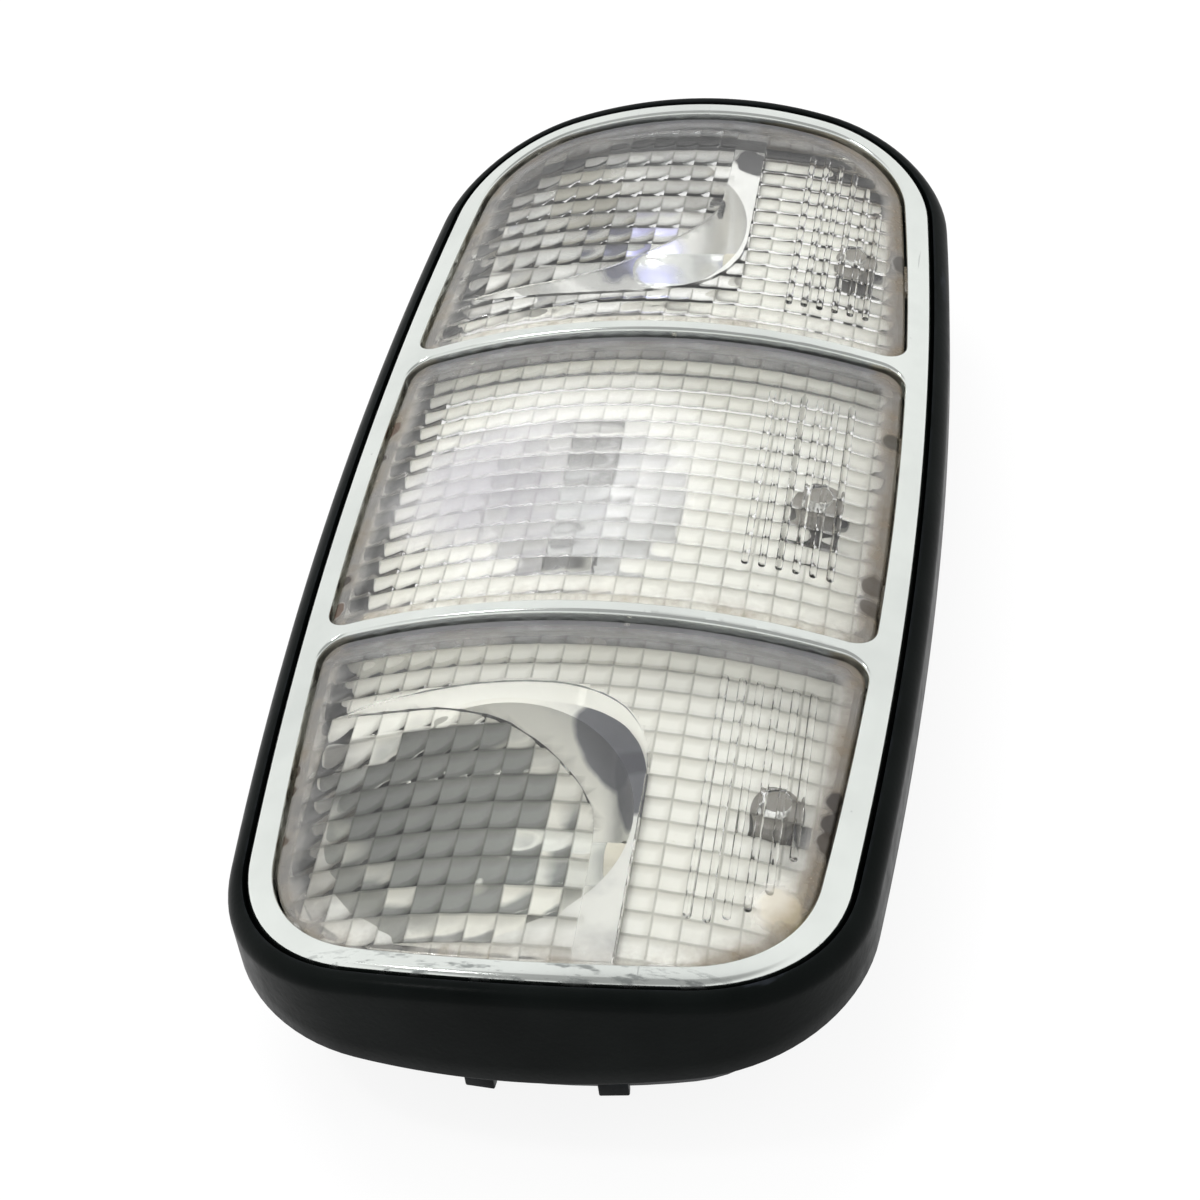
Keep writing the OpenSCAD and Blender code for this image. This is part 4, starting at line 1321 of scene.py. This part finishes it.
@dataclass
class RockerLens:
    """Clear rocker lens: crowned plate and skirt, pillow cells underneath, press ribs on top.

    Attributes:
        sag_zone: Right edge and width of the sagging rows, then start, rise, end and fall along the lamp.
        cells_x: Left and right end of the cells, and the right end of those over a bowl.
        cells_y: Start and end of an end lens's cells, and half length of the centre lens's.
        rib_rows: Height and width share of each ring of a rib.
        plain_arc: Corners of the curve between the plain cells and the bowl's half.
        step_arc: Corners of the curve between the plain crescent and the bowl's cells.
        shaft: Radius, reach and lower and upper depth of the push shaft.
        catch: How far a catch goes inwards and outwards, its half width and its depth.
    """

    shape: LampShape
    place: Place
    recess: float = 1.0
    plate_t: float = 2.2
    wall: float = 1.6
    skirt: float = 4.9
    edge_round: float = 0.45
    cell: tuple = (3.1, 3.2)
    cell_depth: tuple = (0.12, 0.2)
    bowl_cell: tuple = (3.23, 4.0)
    bowl_depth: tuple = (0.19, 0.23)
    bowl_sag: float = 2.6
    sag_zone: tuple = (4.0, 34.0, 36.0, 12.0, 76.0, 30.0)
    cells_x: tuple = (-34.0, 34.0, 11.0)
    cells_y: tuple = (27.0, 80.0, 28.0)
    zone_middle: tuple = (-12.0, 65.0)
    beyond: float = 90.0
    crescent_t: float = 0.55
    sunk_in: float = 0.15
    scallop: float = 0.55
    split_x: float = 9.9
    steps: int = 7
    rib_w: float = 0.9
    rib_pitch: float = 2.03
    rib_count: int = 6
    rib_rows: tuple = ((-0.9, 1.0), (0.18, 1.0), (0.34, 0.88), (0.45, 0.62), (0.5, 0.25))
    pad_x: float = 22.3
    rib_half: float = 16.4
    rib_start: float = 35.3
    rib_stops: tuple = (70.8, 70.9, 70.0, 68.4, 65.5, 60.2)
    plain_arc: tuple = (
        (-29.0, 40.6), (-24.0, 39.2), (-18.0, 38.2), (-12.0, 37.5), (-6.0, 37.3), (-1.0, 37.6),
        (3.0, 38.7), (6.2, 40.6), (8.3, 43.4), (9.5, 46.5), (9.9, 50.0),
    )
    step_arc: tuple = (
        (-27.0, 40.4), (-22.0, 40.9), (-15.0, 41.0), (-8.0, 43.0), (-3.0, 46.6),
        (0.0, 49.4), (3.0, 53.0), (5.0, 56.6), (5.6, 61.0), (5.6, 90.0),
    )
    ear_half: float = 2.0
    shaft: tuple = (1.8, 3.1, 3.6, 2.1)
    catch: tuple = (0.8, 1.2, 3.0, 3.5)

    @property
    def side(self) -> int:
        """Sign of the lens's y."""
        return self.place.value

    @property
    def reach(self) -> tuple[float, float]:
        """Lowest and highest place along of the lens's cells."""
        first, last, half = self.cells_y
        return (-half, half) if self.place is Place.CENTRE else tuple(sorted((self.side * first, self.side * last)))

    def blank(self) -> Piece:
        """The lens before its hollow: skirt wall, rounded edge and crowned top.

        Returns:
            The new object.
        """
        s, outline = self.shape, self.shape.window_outline(self.place)
        g, r = -s.lens_gap, self.edge_round
        shares = (0.93, 0.82, 0.68, 0.52, 0.36, 0.2, 0.06)
        rows = [(g, self.skirt, share) for share in shares[::-1]]
        rows += [(g, self.skirt, 1.0), (g, self.recess + r + 0.3, 1.0)]
        for a in np.radians(np.arange(6) * 18.0):
            rows.append((g - r * (1 - math.cos(a)), self.recess + r * (1 - math.sin(a)), 1.0))
        rows += [(g - r - 0.5, self.recess, share) for share in (1.0, *shares)]
        middle = np.array([0.0, self.side * 53.0])
        rings = [s.sunk(middle + (outline.at(offset) - middle) * share, drop) for offset, drop, share in rows]
        return Bench.ring_solid("lens_" + self.place.word + "_clear", rings)

    def lean(self, x: Array, y: Array) -> Array:
        """How far the rows over the bowl sag at a place.

        Args:
            x: Places across.
            y: Places along.

        Returns:
            Shares of the full sag.
        """
        along = self.side * y
        right, width, first, rise, last, fall = self.sag_zone
        fade = np.clip((along - first) / rise, 0, 1) * np.clip((last - along) / fall, 0, 1)
        return np.clip((right - x) / width, 0, 1) ** 1.5 * fade

    def pillow_block(self, right: float, start: tuple, cell: tuple, depth: tuple, sag: float = 0.0) -> Piece:
        """Block whose top carries the pillow cells of a zone, to be cut out of the lens from below.

        Args:
            right: Highest place across.
            start: A place where cell lines cross.
            cell: Cell size across and along.
            depth: Pillow height across and along.
            sag: How far the rows sag to the left, in millimetres at the left edge.

        Returns:
            The new object.
        """
        s, n = self.shape, self.steps
        low, high = self.reach
        grid = []
        for axis, (first, last) in enumerate(((self.cells_x[0], right), (low, high))):
            k0 = math.floor((first - start[axis]) / cell[axis])
            k1 = math.ceil((last - start[axis]) / cell[axis])
            grid.append(start[axis] + cell[axis] * (k0 + np.arange((k1 - k0) * n + 1) / n))

        def shape(x: Array, y: Array, below: bool) -> Array:
            """Places of lattice points on the pillow sheet or the block's flat lower sheet.

            Args:
                x: Places across.
                y: Places along.
                below: True for the flat lower sheet.

            Returns:
                Rows of x, y and z in millimetres.
            """
            u, v = (x - start[0]) / cell[0], (y - start[1]) / cell[1]
            fu, fv = u - np.floor(u + 1e-9), v - np.floor(v + 1e-9)
            pillow = depth[0] * (1 - (2 * fu - 1) ** 2) + depth[1] * (1 - (2 * fv - 1) ** 2)
            plan = np.column_stack([x, y + self.side * self.lean(x, y) * sag])
            return s.sunk(plan, self.skirt + 2.0 if below else self.recess + self.plate_t - self.sunk_in + pillow)

        return Bench.sheet_solid("pillow_block", *grid, shape)

    def inner_prism(self, grow: float = 0.0) -> Piece:
        """The room inside the skirt, scalloped along its near edge.

        Args:
            grow: How far the prism is grown, in millimetres.

        Returns:
            The new object.
        """
        outline = self.shape.window_outline(self.place)
        plan = outline.at(grow - self.shape.lens_gap - self.wall)
        run = np.concatenate([[0.0], np.cumsum(np.linalg.norm(np.diff(plan, axis=0), axis=1))])
        share = np.clip(-outline.normals[:, 1] * 1.6 - 0.2, 0, 1) * np.abs(np.sin(run * math.pi / self.cell[0]))
        return Bench.upright("inner_prism", plan + outline.normals * (share * self.scallop)[:, None])

    def eased(self, corners: tuple) -> Run:
        """Smooth curve close to given corners, with the ends kept.

        Args:
            corners: Places across and along.

        Returns:
            Places across, then places along.
        """
        ends = np.array(corners)
        fine = np.linspace(0, len(ends) - 1, 90)
        x, y = (np.interp(fine, np.arange(len(ends)), ends[:, i]) for i in (0, 1))
        for _ in range(12):
            x[1:-1] = (x[:-2] + 2 * x[1:-1] + x[2:]) / 4
            y[1:-1] = (y[:-2] + 2 * y[1:-1] + y[2:]) / 4
        return x, y

    def bowl_zone(self, grow: float) -> Piece:
        """Upright prism over the reading bowl's half of an end lens.

        Args:
            grow: How far the prism is grown, in millimetres.

        Returns:
            The new object.
        """
        x, y = self.eased(self.plain_arc)
        left, far = -40.0, self.beyond
        loop = np.column_stack([np.append(x, [self.split_x, left, left]), np.append(y, [far, far, y[0]])])
        middle = np.array(self.zone_middle)
        way = loop - middle
        loop = (middle + way * (1 + grow / np.linalg.norm(way, axis=1)[:, None])) * (1, self.side)
        return Bench.upright("bowl_zone", loop[::self.side])

    def crescent(self) -> Piece:
        """Plate of the plain crescent beside the bowl's cells, thick enough to swallow their relief.

        Returns:
            The new object.
        """
        x, y = self.eased(self.step_arc)
        right, near = self.split_x + 0.02, 34.0
        loop = np.column_stack([
            np.append(x, [right, right, x[0]]), np.append(y, [self.beyond, near, near]) * self.side])
        low, high = self.reach

        def shape(x: Array, y: Array, below: bool) -> Array:
            """Smooth plate from the middle of the lens plate to just under its cells."""
            drop = self.recess + (self.plate_t + self.crescent_t if below else 1.0)
            return self.shape.sunk(np.column_stack([x, y]), drop)

        plate = Bench.sheet_solid("crescent_plate", np.arange(-34, 11.6, 1.5), np.arange(low, high + 1, 1.5), shape)
        plan = Bench.upright("crescent", loop[::-self.side])
        return Bench.combine(plate, Cut.KEEP, plan, self.bowl_zone(0.0), self.inner_prism(0.05))

    def starts(self) -> tuple[tuple, tuple]:
        """Places where cell lines cross, in the lens's plain cells and over the bowl.

        Returns:
            The two places, each across and along.
        """
        if self.place is Place.CENTRE:
            return (-0.9, -0.55), (-0.9, -0.55)
        return (self.split_x + 0.3, self.side * 37.9), (0.2, self.side * 71.8)

    def edge(self, axis: int, sign: int = 1) -> Run:
        """One edge of the window as a curve.

        Args:
            axis: Axis that the edge faces, 0 or 1.
            sign: Which way it faces.

        Returns:
            Places along the other axis in rising order, and the edge's places on its own axis.
        """
        outline = self.shape.window_outline(self.place)
        edge = outline.points[sign * outline.normals[:, axis] > 0.02]
        order = np.argsort(edge[:, 1 - axis])
        return edge[order, 1 - axis], edge[order, axis]

    def cut_cells(self, lens: Piece) -> None:
        """Hollows the lens from below and leaves its pillow cells standing.

        Args:
            lens: The lens, changed in place.
        """
        start, bowl_start = self.starts()
        _, right, bowl_right = self.cells_x
        rest = self.pillow_block(right, start, self.cell, self.cell_depth)
        Bench.combine(rest, Cut.KEEP, self.inner_prism())
        if self.place is Place.CENTRE:
            Bench.combine(lens, Cut.REMOVE, rest)
            return
        Bench.combine(rest, Cut.REMOVE, self.bowl_zone(0.0))
        bowl = self.pillow_block(bowl_right, bowl_start, self.bowl_cell, self.bowl_depth, self.bowl_sag)
        Bench.combine(bowl, Cut.KEEP, self.inner_prism(), self.bowl_zone(0.03))
        Bench.combine(lens, Cut.REMOVE, rest, bowl)
        Bench.combine(lens, Cut.JOIN, self.crescent())

    def rib(self, x: float, y0: float, y1: float) -> Piece:
        """One press rib with rounded ends, sitting on the crowned top.

        Args:
            x: Place across.
            y0: One end.
            y1: Other end.

        Returns:
            The new object.
        """
        r, rows = self.rib_w / 2, []
        turns = np.linspace(0, 2 * math.pi, 48, endpoint=False)
        ends = np.where(np.sin(turns) >= 0, y1 - r, y0 + r)
        for height, shrink in self.rib_rows:
            plan = np.column_stack([np.cos(turns) * r * shrink + x, np.sin(turns) * r * shrink + ends])
            rows.append(self.shape.sunk(plan, self.recess - height))
        return Bench.ring_solid("rib", rows)

    def add_ribs(self, lens: Piece) -> None:
        """Joins the six press ribs of the pad.

        Args:
            lens: The lens, changed in place.
        """
        for k in range(self.rib_count):
            x = self.pad_x + (k - (self.rib_count - 1) / 2) * self.rib_pitch
            ends = (-self.rib_half, self.rib_half)
            if self.place is not Place.CENTRE:
                ends = sorted((self.side * self.rib_start, self.side * self.rib_stops[k]))
            Bench.combine(lens, Cut.JOIN, self.rib(x, *ends))

    def add_fittings(self, lens: Piece) -> None:
        """Joins the hinge ears, the catches and the push shaft.

        Args:
            lens: The lens, changed in place.
        """
        s, r = self.shape, self.shape.ear_r
        for y in s.ears(self.place):
            x, z = s.ear_axis(y)
            y0, y1 = y - self.ear_half, y + self.ear_half
            ear = Bench.rod("ear", (x, y0, z), (x, y1, z), r, 20, 0.12)
            web = Bench.block("web", (x, y0, z - r / 2), (x + r + 0.8, y1, z + r / 2))
            Bench.combine(lens, Cut.JOIN, Bench.combine(ear, Cut.JOIN, web))
        inward, out, half, drop = self.catch
        for y in s.ears(self.place) if self.place is Place.CENTRE else (self.side * s.push_y,):
            x = s.window_edge(y) - s.lens_gap
            z = s.height(x + out, y) - drop - out
            catch = Bench.block("catch", (x - inward, y - half, z), (x + out, y + half, z + out), 0.2)
            Bench.combine(lens, Cut.JOIN, catch)
        x, y = s.push_x, self.side * s.push_y
        radius, reach, low, high = self.shaft
        low, high = s.height(x + reach, y) - low, s.height(x, y) - high
        Bench.combine(lens, Cut.JOIN, Bench.rod("shaft", (x, y, low), (x, y, high), radius, 32, 0.2))

    def mark(self, lens: Piece) -> None:
        """Writes where the cell lines and the strips of painted shade, and the grimy margins, lie, for the clear
        finish.

        Args:
            lens: The lens that gets the attributes.
        """
        at = Bench.coords(lens) / MM
        x, y, along = at[:, 0], at[:, 1], at[:, 1] * self.side
        s, inner = self.shape, self.shape.lens_gap + self.wall
        depth = s.face_z(x, y) - at[:, 2]
        low = self.recess + self.plate_t - self.sunk_in
        under = ((depth > low - 0.05) & (depth < low + 0.62)).astype(float)
        start, bowl_start = self.starts()
        u, v = (x - start[0]) / self.cell[0], (y - start[1]) / self.cell[1]
        step = np.zeros(len(at))

        def away(px: Array, py: Array, points: Array, rows: Array) -> Array:
            """Distance of vertices from the nearest point of a curve."""
            return np.hypot(px[:, None] - points, py[:, None] - rows).min(axis=1)

        if self.place is not Place.CENTRE:
            over_bowl = (x < self.split_x) & (along > np.interp(x, *np.array(self.plain_arc).T))
            flat_y = y
            for _ in range(6):
                flat_y = y - self.side * self.lean(x, flat_y) * self.bowl_sag
            u = np.where(over_bowl, (x - bowl_start[0]) / self.bowl_cell[0], u)
            v = np.where(over_bowl, (flat_y - bowl_start[1]) / self.bowl_cell[1], v)
            arc_x, arc_y = self.eased(self.step_arc)
            plain = (x > arc_x[0]) & ((along < np.interp(x, arc_x, arc_y)) | (x > arc_x[-1]))
            under = np.where(over_bowl & plain, 0.0, under)
            line_at = (depth > low - 0.3) & (depth < low + 1.2) & (x < 5.4)
            step = np.clip(1 - away(x, along, arc_x, arc_y) / 0.35, 0, 1) * line_at
        ring = s.window_outline(self.place).at(-s.lens_gap)[::2]
        right, left = (np.interp(y, *self.edge(0, sign)) for sign in (1, -1))
        # The cell places, the step line and the far and side layers carry painted shade; the margin layer carries
        # grime.
        layers = {
            "cell_u": u, "cell_v": v, "cell_side": under, "step_line": step,
            "margin": np.clip(1 - (away(x, y, *ring.T) - 1.0) / 3.0, 0, 1),
            "far_band": np.clip((y - np.interp(x, *self.edge(1)) + inner + 0.7) / 0.8, 0, 1),
            "side_band": np.maximum(
                np.clip((x - right + inner + 1.3) / 0.4, 0, 1), 0.7 * np.clip((left + inner + 0.3 - x) / 0.4, 0, 1)),
        }
        for name, values in layers.items():
            layer = lens.data.attributes.new(name, "FLOAT", "POINT")
            layer.data.foreach_set("value", np.ascontiguousarray(values, dtype=np.float32))

    def build(self) -> None:
        """Models the lens and hands it over."""
        lens = self.blank()
        self.cut_cells(lens)
        self.add_ribs(lens)
        self.add_fittings(lens)
        self.mark(lens)
        Bench.smooth(lens, 20)
        Bench.hand_over(lens, LENS, "rocker_" + self.place.word, "lens_" + self.place.word)


@dataclass
class LightTray:
    """Off-white inner moulding: arched floor, end walls, two partitions and screw bosses.

    Attributes:
        bowl_room: Room round a bowl's hollow, and dish_room that round the dish.
        push_room: Radius of a plunger's hole.
        boss: Lower end, reach into the floor and radius of a screw boss.
    """

    shape: LampShape
    top_r: float = 81.6
    under_r: float = 80.1
    partition_r: float = 85.8
    inset: float = 6.0
    wall: float = 1.2
    partition_t: float = 1.6
    bowl_room: float = 0.95
    dish_room: float = 0.4
    push_room: float = 3.4
    boss: tuple = (2.3, 1.0, 3.0)
    boss_x: tuple = (-22.0, 7.0)

    def arch(self, radius: float, half: float = 83.0, sides: int = 720) -> Piece:
        """Long round bar about the crown's axis."""
        z = self.shape.crest_z - self.shape.cross_r
        return Bench.rod("arch", (0, -half, z), (0, half, z), radius, sides)

    def prism(self, inset: float, low: float) -> Piece:
        """Upright prism of the frame's outline, shrunk by an inset."""
        return Bench.upright("prism", self.shape.face_outline().at(-inset), low, 33.0)

    def build(self) -> None:
        """Models the tray and hands it over."""
        s = self.shape
        tray = Bench.combine(self.prism(self.inset, s.floor_z), Cut.KEEP, self.arch(self.top_r))
        room = Bench.combine(self.prism(self.inset + self.wall, s.seat_z), Cut.KEEP, self.arch(self.under_r))
        Bench.combine(tray, Cut.REMOVE, room)
        half = self.partition_t / 2
        low, up, radius = self.boss
        for y in (-s.bar_y, s.bar_y):
            wall = Bench.block("partition", (-36, y - half, s.floor_z + 0.5), (36, y + half, 33))
            Bench.combine(wall, Cut.KEEP, self.arch(self.partition_r), self.prism(self.inset, s.floor_z))
            Bench.combine(tray, Cut.JOIN, wall)
            for x in self.boss_x:
                Bench.combine(tray, Cut.JOIN, Bench.rod("boss", (x, y, low), (x, y, s.floor_z + up), radius, 32, 0.3))
        cap, y0, y1, bottom, top = s.cap_slot
        x = s.dish[0]
        for side in (-1, 1):
            room = Bench.ball("bowl_room", (s.bowl[0], side * s.bowl[1], s.bowl[2]), s.bowl_r + self.bowl_room)
            slot = Bench.block("cap_room", (x - cap, side * y0, bottom), (x + cap, side * y1, top))
            Bench.combine(tray, Cut.REMOVE, room, slot)
        Bench.combine(tray, Cut.REMOVE, Bench.ball("dish_room", s.dish, s.dish_r + self.dish_room))
        for y in (-s.push_y, 0.0, s.push_y):
            hole = Bench.rod("push_room", (s.push_x, y, 5), (s.push_x, y, 33), self.push_room, 48)
            Bench.combine(tray, Cut.REMOVE, hole)
        Bench.smooth(tray, 20)
        Bench.hand_over(tray, TRAY, "lamp", "light_tray")


@dataclass
class Bowl:
    """Chromed bowl set in the tray: a thin ball shell trimmed by the tray's arch.

    Attributes:
        bulb: Depth and radius of the bulb's hole.
        vent: Place of the three vent holes, if any, and vent_lifts their heights about it.
    """

    shape: LampShape
    place: Place
    finish: Finish
    name: str
    node: str
    wall: float = 0.8
    arch_r: float = 82.8
    lip_t: float = 0.7
    bulb: tuple = (9.4, 2.8)
    vent: tuple = ()
    vent_lifts: tuple = (-0.8, 0.0, 0.8)

    def lip(self, centre: tuple, radius: float) -> Piece:
        """Lip that runs from the bowl's mouth to the edge of the lens's plain crescent.

        Args:
            centre: Middle of the bowl's ball.
            radius: Radius of the bowl's hollow.

        Returns:
            The new object.
        """
        s, tray = self.shape, LightTray(self.shape)
        lip = tray.arch(self.arch_r, 82.0, 360)
        Bench.combine(lip, Cut.REMOVE, tray.arch(self.arch_r - self.lip_t, 83.0, 360))
        Bench.combine(lip, Cut.KEEP, RockerLens(s, self.place).bowl_zone(-0.4), tray.prism(tray.inset + 0.4, s.floor_z))
        return Bench.combine(lip, Cut.REMOVE, Bench.ball("mouth", centre, radius + 0.3))

    def open_up(self, shell: Piece, centre: tuple, radius: float) -> None:
        """Cuts the openings for the bulb, and the vent slots if it has any.

        Args:
            shell: The bowl.
            centre: Middle of the bowl's ball.
            radius: Radius of the bowl's hollow.
        """
        x, y, z = centre
        if self.place is Place.CENTRE:
            cap, y0, y1, bottom, top = self.shape.cap_slot
            for side in (-1, 1):
                slot = Bench.block("cap_slot", (x - cap, side * y0, bottom), (x + cap, side * y1, top))
                Bench.combine(shell, Cut.REMOVE, slot)
        else:
            down, hole_r = self.bulb
            hole = Bench.rod("bulb_hole", (x, y, z - down), (x + radius + 3, y, z - down), hole_r, 48)
            Bench.combine(shell, Cut.REMOVE, hole)
        if self.vent:
            spot = Vector(self.vent)
            way = (spot - Vector(centre)).normalized()
            for lift in self.vent_lifts:
                shift = Vector((0, 0, lift))
                pin = Bench.rod("vent", spot - 2 * way + shift, spot + 3 * way + shift, 0.75, 16)
                Bench.combine(shell, Cut.REMOVE, pin)

    def build(self) -> None:
        """Models the bowl with its lip and openings, and hands it over."""
        s, middle = self.shape, self.place is Place.CENTRE
        radius = s.dish_r if middle else s.bowl_r
        centre = s.dish if middle else (s.bowl[0], self.place.value * s.bowl[1], s.bowl[2])
        shell = Bench.ball(self.name, centre, radius + self.wall)
        Bench.combine(shell, Cut.REMOVE, Bench.ball("hollow", centre, radius))
        Bench.combine(shell, Cut.KEEP, LightTray(s).arch(self.arch_r, 82.0, 360))
        if not middle:
            Bench.combine(shell, Cut.JOIN, self.lip(centre, radius))
        self.open_up(shell, centre, radius)
        Bench.smooth(shell, 30)
        Bench.hand_over(shell, self.finish, "lamp", self.node)


@dataclass
class InnerParts:
    """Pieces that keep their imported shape, dressed as eased and smoothed copies.

    Attributes:
        table: Node, piece, finish, eased edge, smoothing angle and the words that fill both names.
    """

    table: tuple = (
        ("bulb_{}", "bulb_{}_glass", GLASS, 0.0, 60.0, ("far", "near")),
        ("bulb_centre", "bulb_centre_glass", GLASS, 0.0, 40.0, ("",)),
        ("bulb_holder_{}", "holder_{}_moulding", HOLDER, 0.15, 40.0, ("far", "near")),
        ("festoon_clips", "festoon_springs", TIN, 0.08, 40.0, ("",)),
        ("circuit_board", "board_sheet", BOARD, 0.1, 40.0, ("",)),
        ("switch_{}", "switch_{}_case", DARK, 0.2, 40.0, ("far", "centre", "near")),
        ("rear_cover", "rear_plate", COVER, 0.3, 35.0, ("",)),
        ("cover_screws", "cover_screw_set", STEEL, 0.15, 40.0, ("",)),
        ("connector_shell", "inlet_shell", DARK, 0.15, 40.0, ("",)),
        ("connector_pins", "inlet_blades", BRASS, 0.1, 40.0, ("",)),
        ("roof_clip_{}", "clip_{}_spring", SPRING, 0.06, 40.0, ("left", "right")),
        ("plunger_{}", "plunger_{}_head", DARK, 0.15, 40.0, ("far", "centre", "near")),
    )

    def build(self) -> None:
        """Makes the dressed copies and hands them over on their own bodies."""
        for node_form, name, finish, bevel, angle, words in self.table:
            for word in words:
                node = node_form.format(word)
                piece = Bench.copy_of_node(node, name.format(word), bevel, angle)
                Bench.hand_over(piece, finish, frame["nodes"][node]["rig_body"], node)


@dataclass
class Studio:
    """Pale floor, white surroundings and soft lamps.

    Attributes:
        floor_half: Half width of the floor in metres.
        sky: Brightness of the surroundings that light the lamp.
        dark_side: Brightness of the part behind the camera, as polished surfaces show it.
        dark_way: Direction of that part.
        dark_span: Angles in degrees between which it fades.
        white: How much of the floor's own shade gives way to white.
        lamps: Name, place in metres, size in metres, power in watts and whether metal mirrors it.
    """

    floor_half: float = 4.0
    sky: float = 0.91
    dark_side: float = 0.42
    dark_way: tuple = (0.13, -0.35, 0.93)
    dark_span: tuple = (36.0, 56.0)
    white: float = 0.88
    lamps: tuple = (
        ("soft_box_back", (-0.35, 0.75, 1.1), 0.9, 13.5, False),
        ("soft_box_side", (0.9, -0.2, 1.0), 0.8, 3.0, False),
        ("window_glint", (-0.44, -0.17, 0.88), 0.13, 2.0, True),
    )

    def floor(self) -> None:
        """Adds the floor, which shows white but keeps the lamp's shadow."""
        Bench.clear()
        bpy.ops.mesh.primitive_plane_add(size=2 * self.floor_half, location=(0, 0, -0.0002))
        plane = Bench.named("studio_floor")
        sheet = Sheet("studio_floor")
        sheet.look(Base_Color=rgb(0.9, 0.9, 0.9), Roughness=0.8)
        glow = sheet.made("Emission", 0, {"Color": rgb(1, 1, 1), "Strength": 1.0})
        path = sheet.node("LightPath").outputs
        seen = sheet.most(sheet.most(path["Is Camera Ray"], path["Is Glossy Ray"]), path["Is Transmission Ray"])
        sheet.feed(sheet.out, {"Surface": sheet.blend(sheet.times(seen, self.white), sheet.surface, glow)})
        plane.data.materials.append(sheet.material)

    def surroundings(self) -> None:
        """Sets the world: white to the camera, brighter beyond the lamp than behind the camera."""
        world = bpy.context.scene.world = bpy.data.worlds.new("studio_world")
        net = Net(world)
        path = net.node("LightPath").outputs
        coord = net.node("TexCoord").outputs["Generated"]
        way = Vector(self.dark_way).normalized()
        toward = net.made("VectorMath", "Value", {0: coord, 1: way}, operation="DOT_PRODUCT")
        near, far = (math.cos(math.radians(a)) for a in self.dark_span)
        values = {"Value": toward, "From Min": near, "From Max": far, "To Min": self.dark_side, "To Max": 1.0}
        fade = net.made("MapRange", "Result", values, interpolation_type="SMOOTHSTEP")
        seen, light, gloss = (
            net.made("Background", 0, {"Color": rgb(1, 1, 1), "Strength": strength})
            for strength in (1.0, self.sky, fade)
        )
        mirrored = net.most(path["Is Glossy Ray"], path["Is Transmission Ray"])
        surface = net.blend(path["Is Camera Ray"], net.blend(mirrored, light, gloss), seen)
        net.feed(net.node("OutputWorld"), {"Surface": surface})

    def lamp(self, name: str, place: Sequence[float], size: float, power: float, mirrored: bool) -> None:
        """Adds one soft lamp aimed at the middle of the dome lamp.

        Args:
            name: Name of the lamp.
            place: Its place in metres.
            size: Side of its square in metres.
            power: Its power in watts.
            mirrored: Whether polished metal shows it.
        """
        Bench.clear()
        bpy.ops.object.light_add(type="AREA", location=place)
        item = bpy.context.object
        item.name = name
        item.data.size, item.data.energy = size, power
        item.visible_glossy = item.visible_transmission = mirrored
        item.rotation_mode = "QUATERNION"
        item.rotation_quaternion = (Vector(place) - Vector((0, 0, 0.02))).to_track_quat("Z", "Y")

    def build(self) -> None:
        """Sets the whole studio."""
        self.floor()
        self.surroundings()
        for lamp in self.lamps:
            self.lamp(*lamp)
        bpy.context.scene.view_settings.view_transform = "Standard"


@dataclass
class PhotoCamera:
    """Camera at the photograph's viewing angle; angles in radians, place in millimetres."""

    place: tuple = (57.988, -251.455, 244.133)
    azimuth: float = 0.2462586
    elevation: float = 0.7463704
    roll: float = -0.1363823
    lens: float = 80.47

    def build(self) -> None:
        """Adds the camera and makes it the scene's."""
        az, el, roll = self.azimuth, self.elevation, self.roll
        back = Vector((math.sin(az) * math.cos(el), -math.cos(az) * math.cos(el), math.sin(el)))
        right = Vector((0, 0, 1)).cross(back).normalized()
        up = back.cross(right)
        x = math.cos(roll) * right + math.sin(roll) * up
        y = -math.sin(roll) * right + math.cos(roll) * up
        Bench.clear()
        bpy.ops.object.camera_add()
        camera = bpy.context.object
        camera.name = "photo_camera"
        camera.data.sensor_width, camera.data.lens = 36.0, self.lens
        camera.data.clip_start, camera.data.clip_end = 0.01, 20.0
        camera.matrix_world = Matrix.Translation(Vector(self.place) * MM) @ Matrix((x, y, back)).transposed().to_4x4()
        bpy.context.scene.camera = camera


def main() -> None:
    """Builds the dome lamp and its studio in order."""
    logging.basicConfig(level=logging.INFO, format="%(name)s: %(message)s")
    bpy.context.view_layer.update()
    shape = LampShape()
    PhotoCamera().build()
    Studio().build()
    BaseHousing(shape).build()
    ChromeFrame(shape).build()
    for place in Place:
        RockerLens(shape, place).build()
    LightTray(shape).build()
    Bowl(shape, Place.FAR, FAR_CHROME, "bowl_far", "cup_far", vent=(3.5, 66.5, 18.3)).build()
    Bowl(shape, Place.NEAR, NEAR_CHROME, "bowl_near", "cup_near").build()
    Bowl(shape, Place.CENTRE, DISH_CHROME, "dome_dish", "dish_centre", arch_r=80.05).build()
    InnerParts().build()


if __name__ == "__main__":
    main()
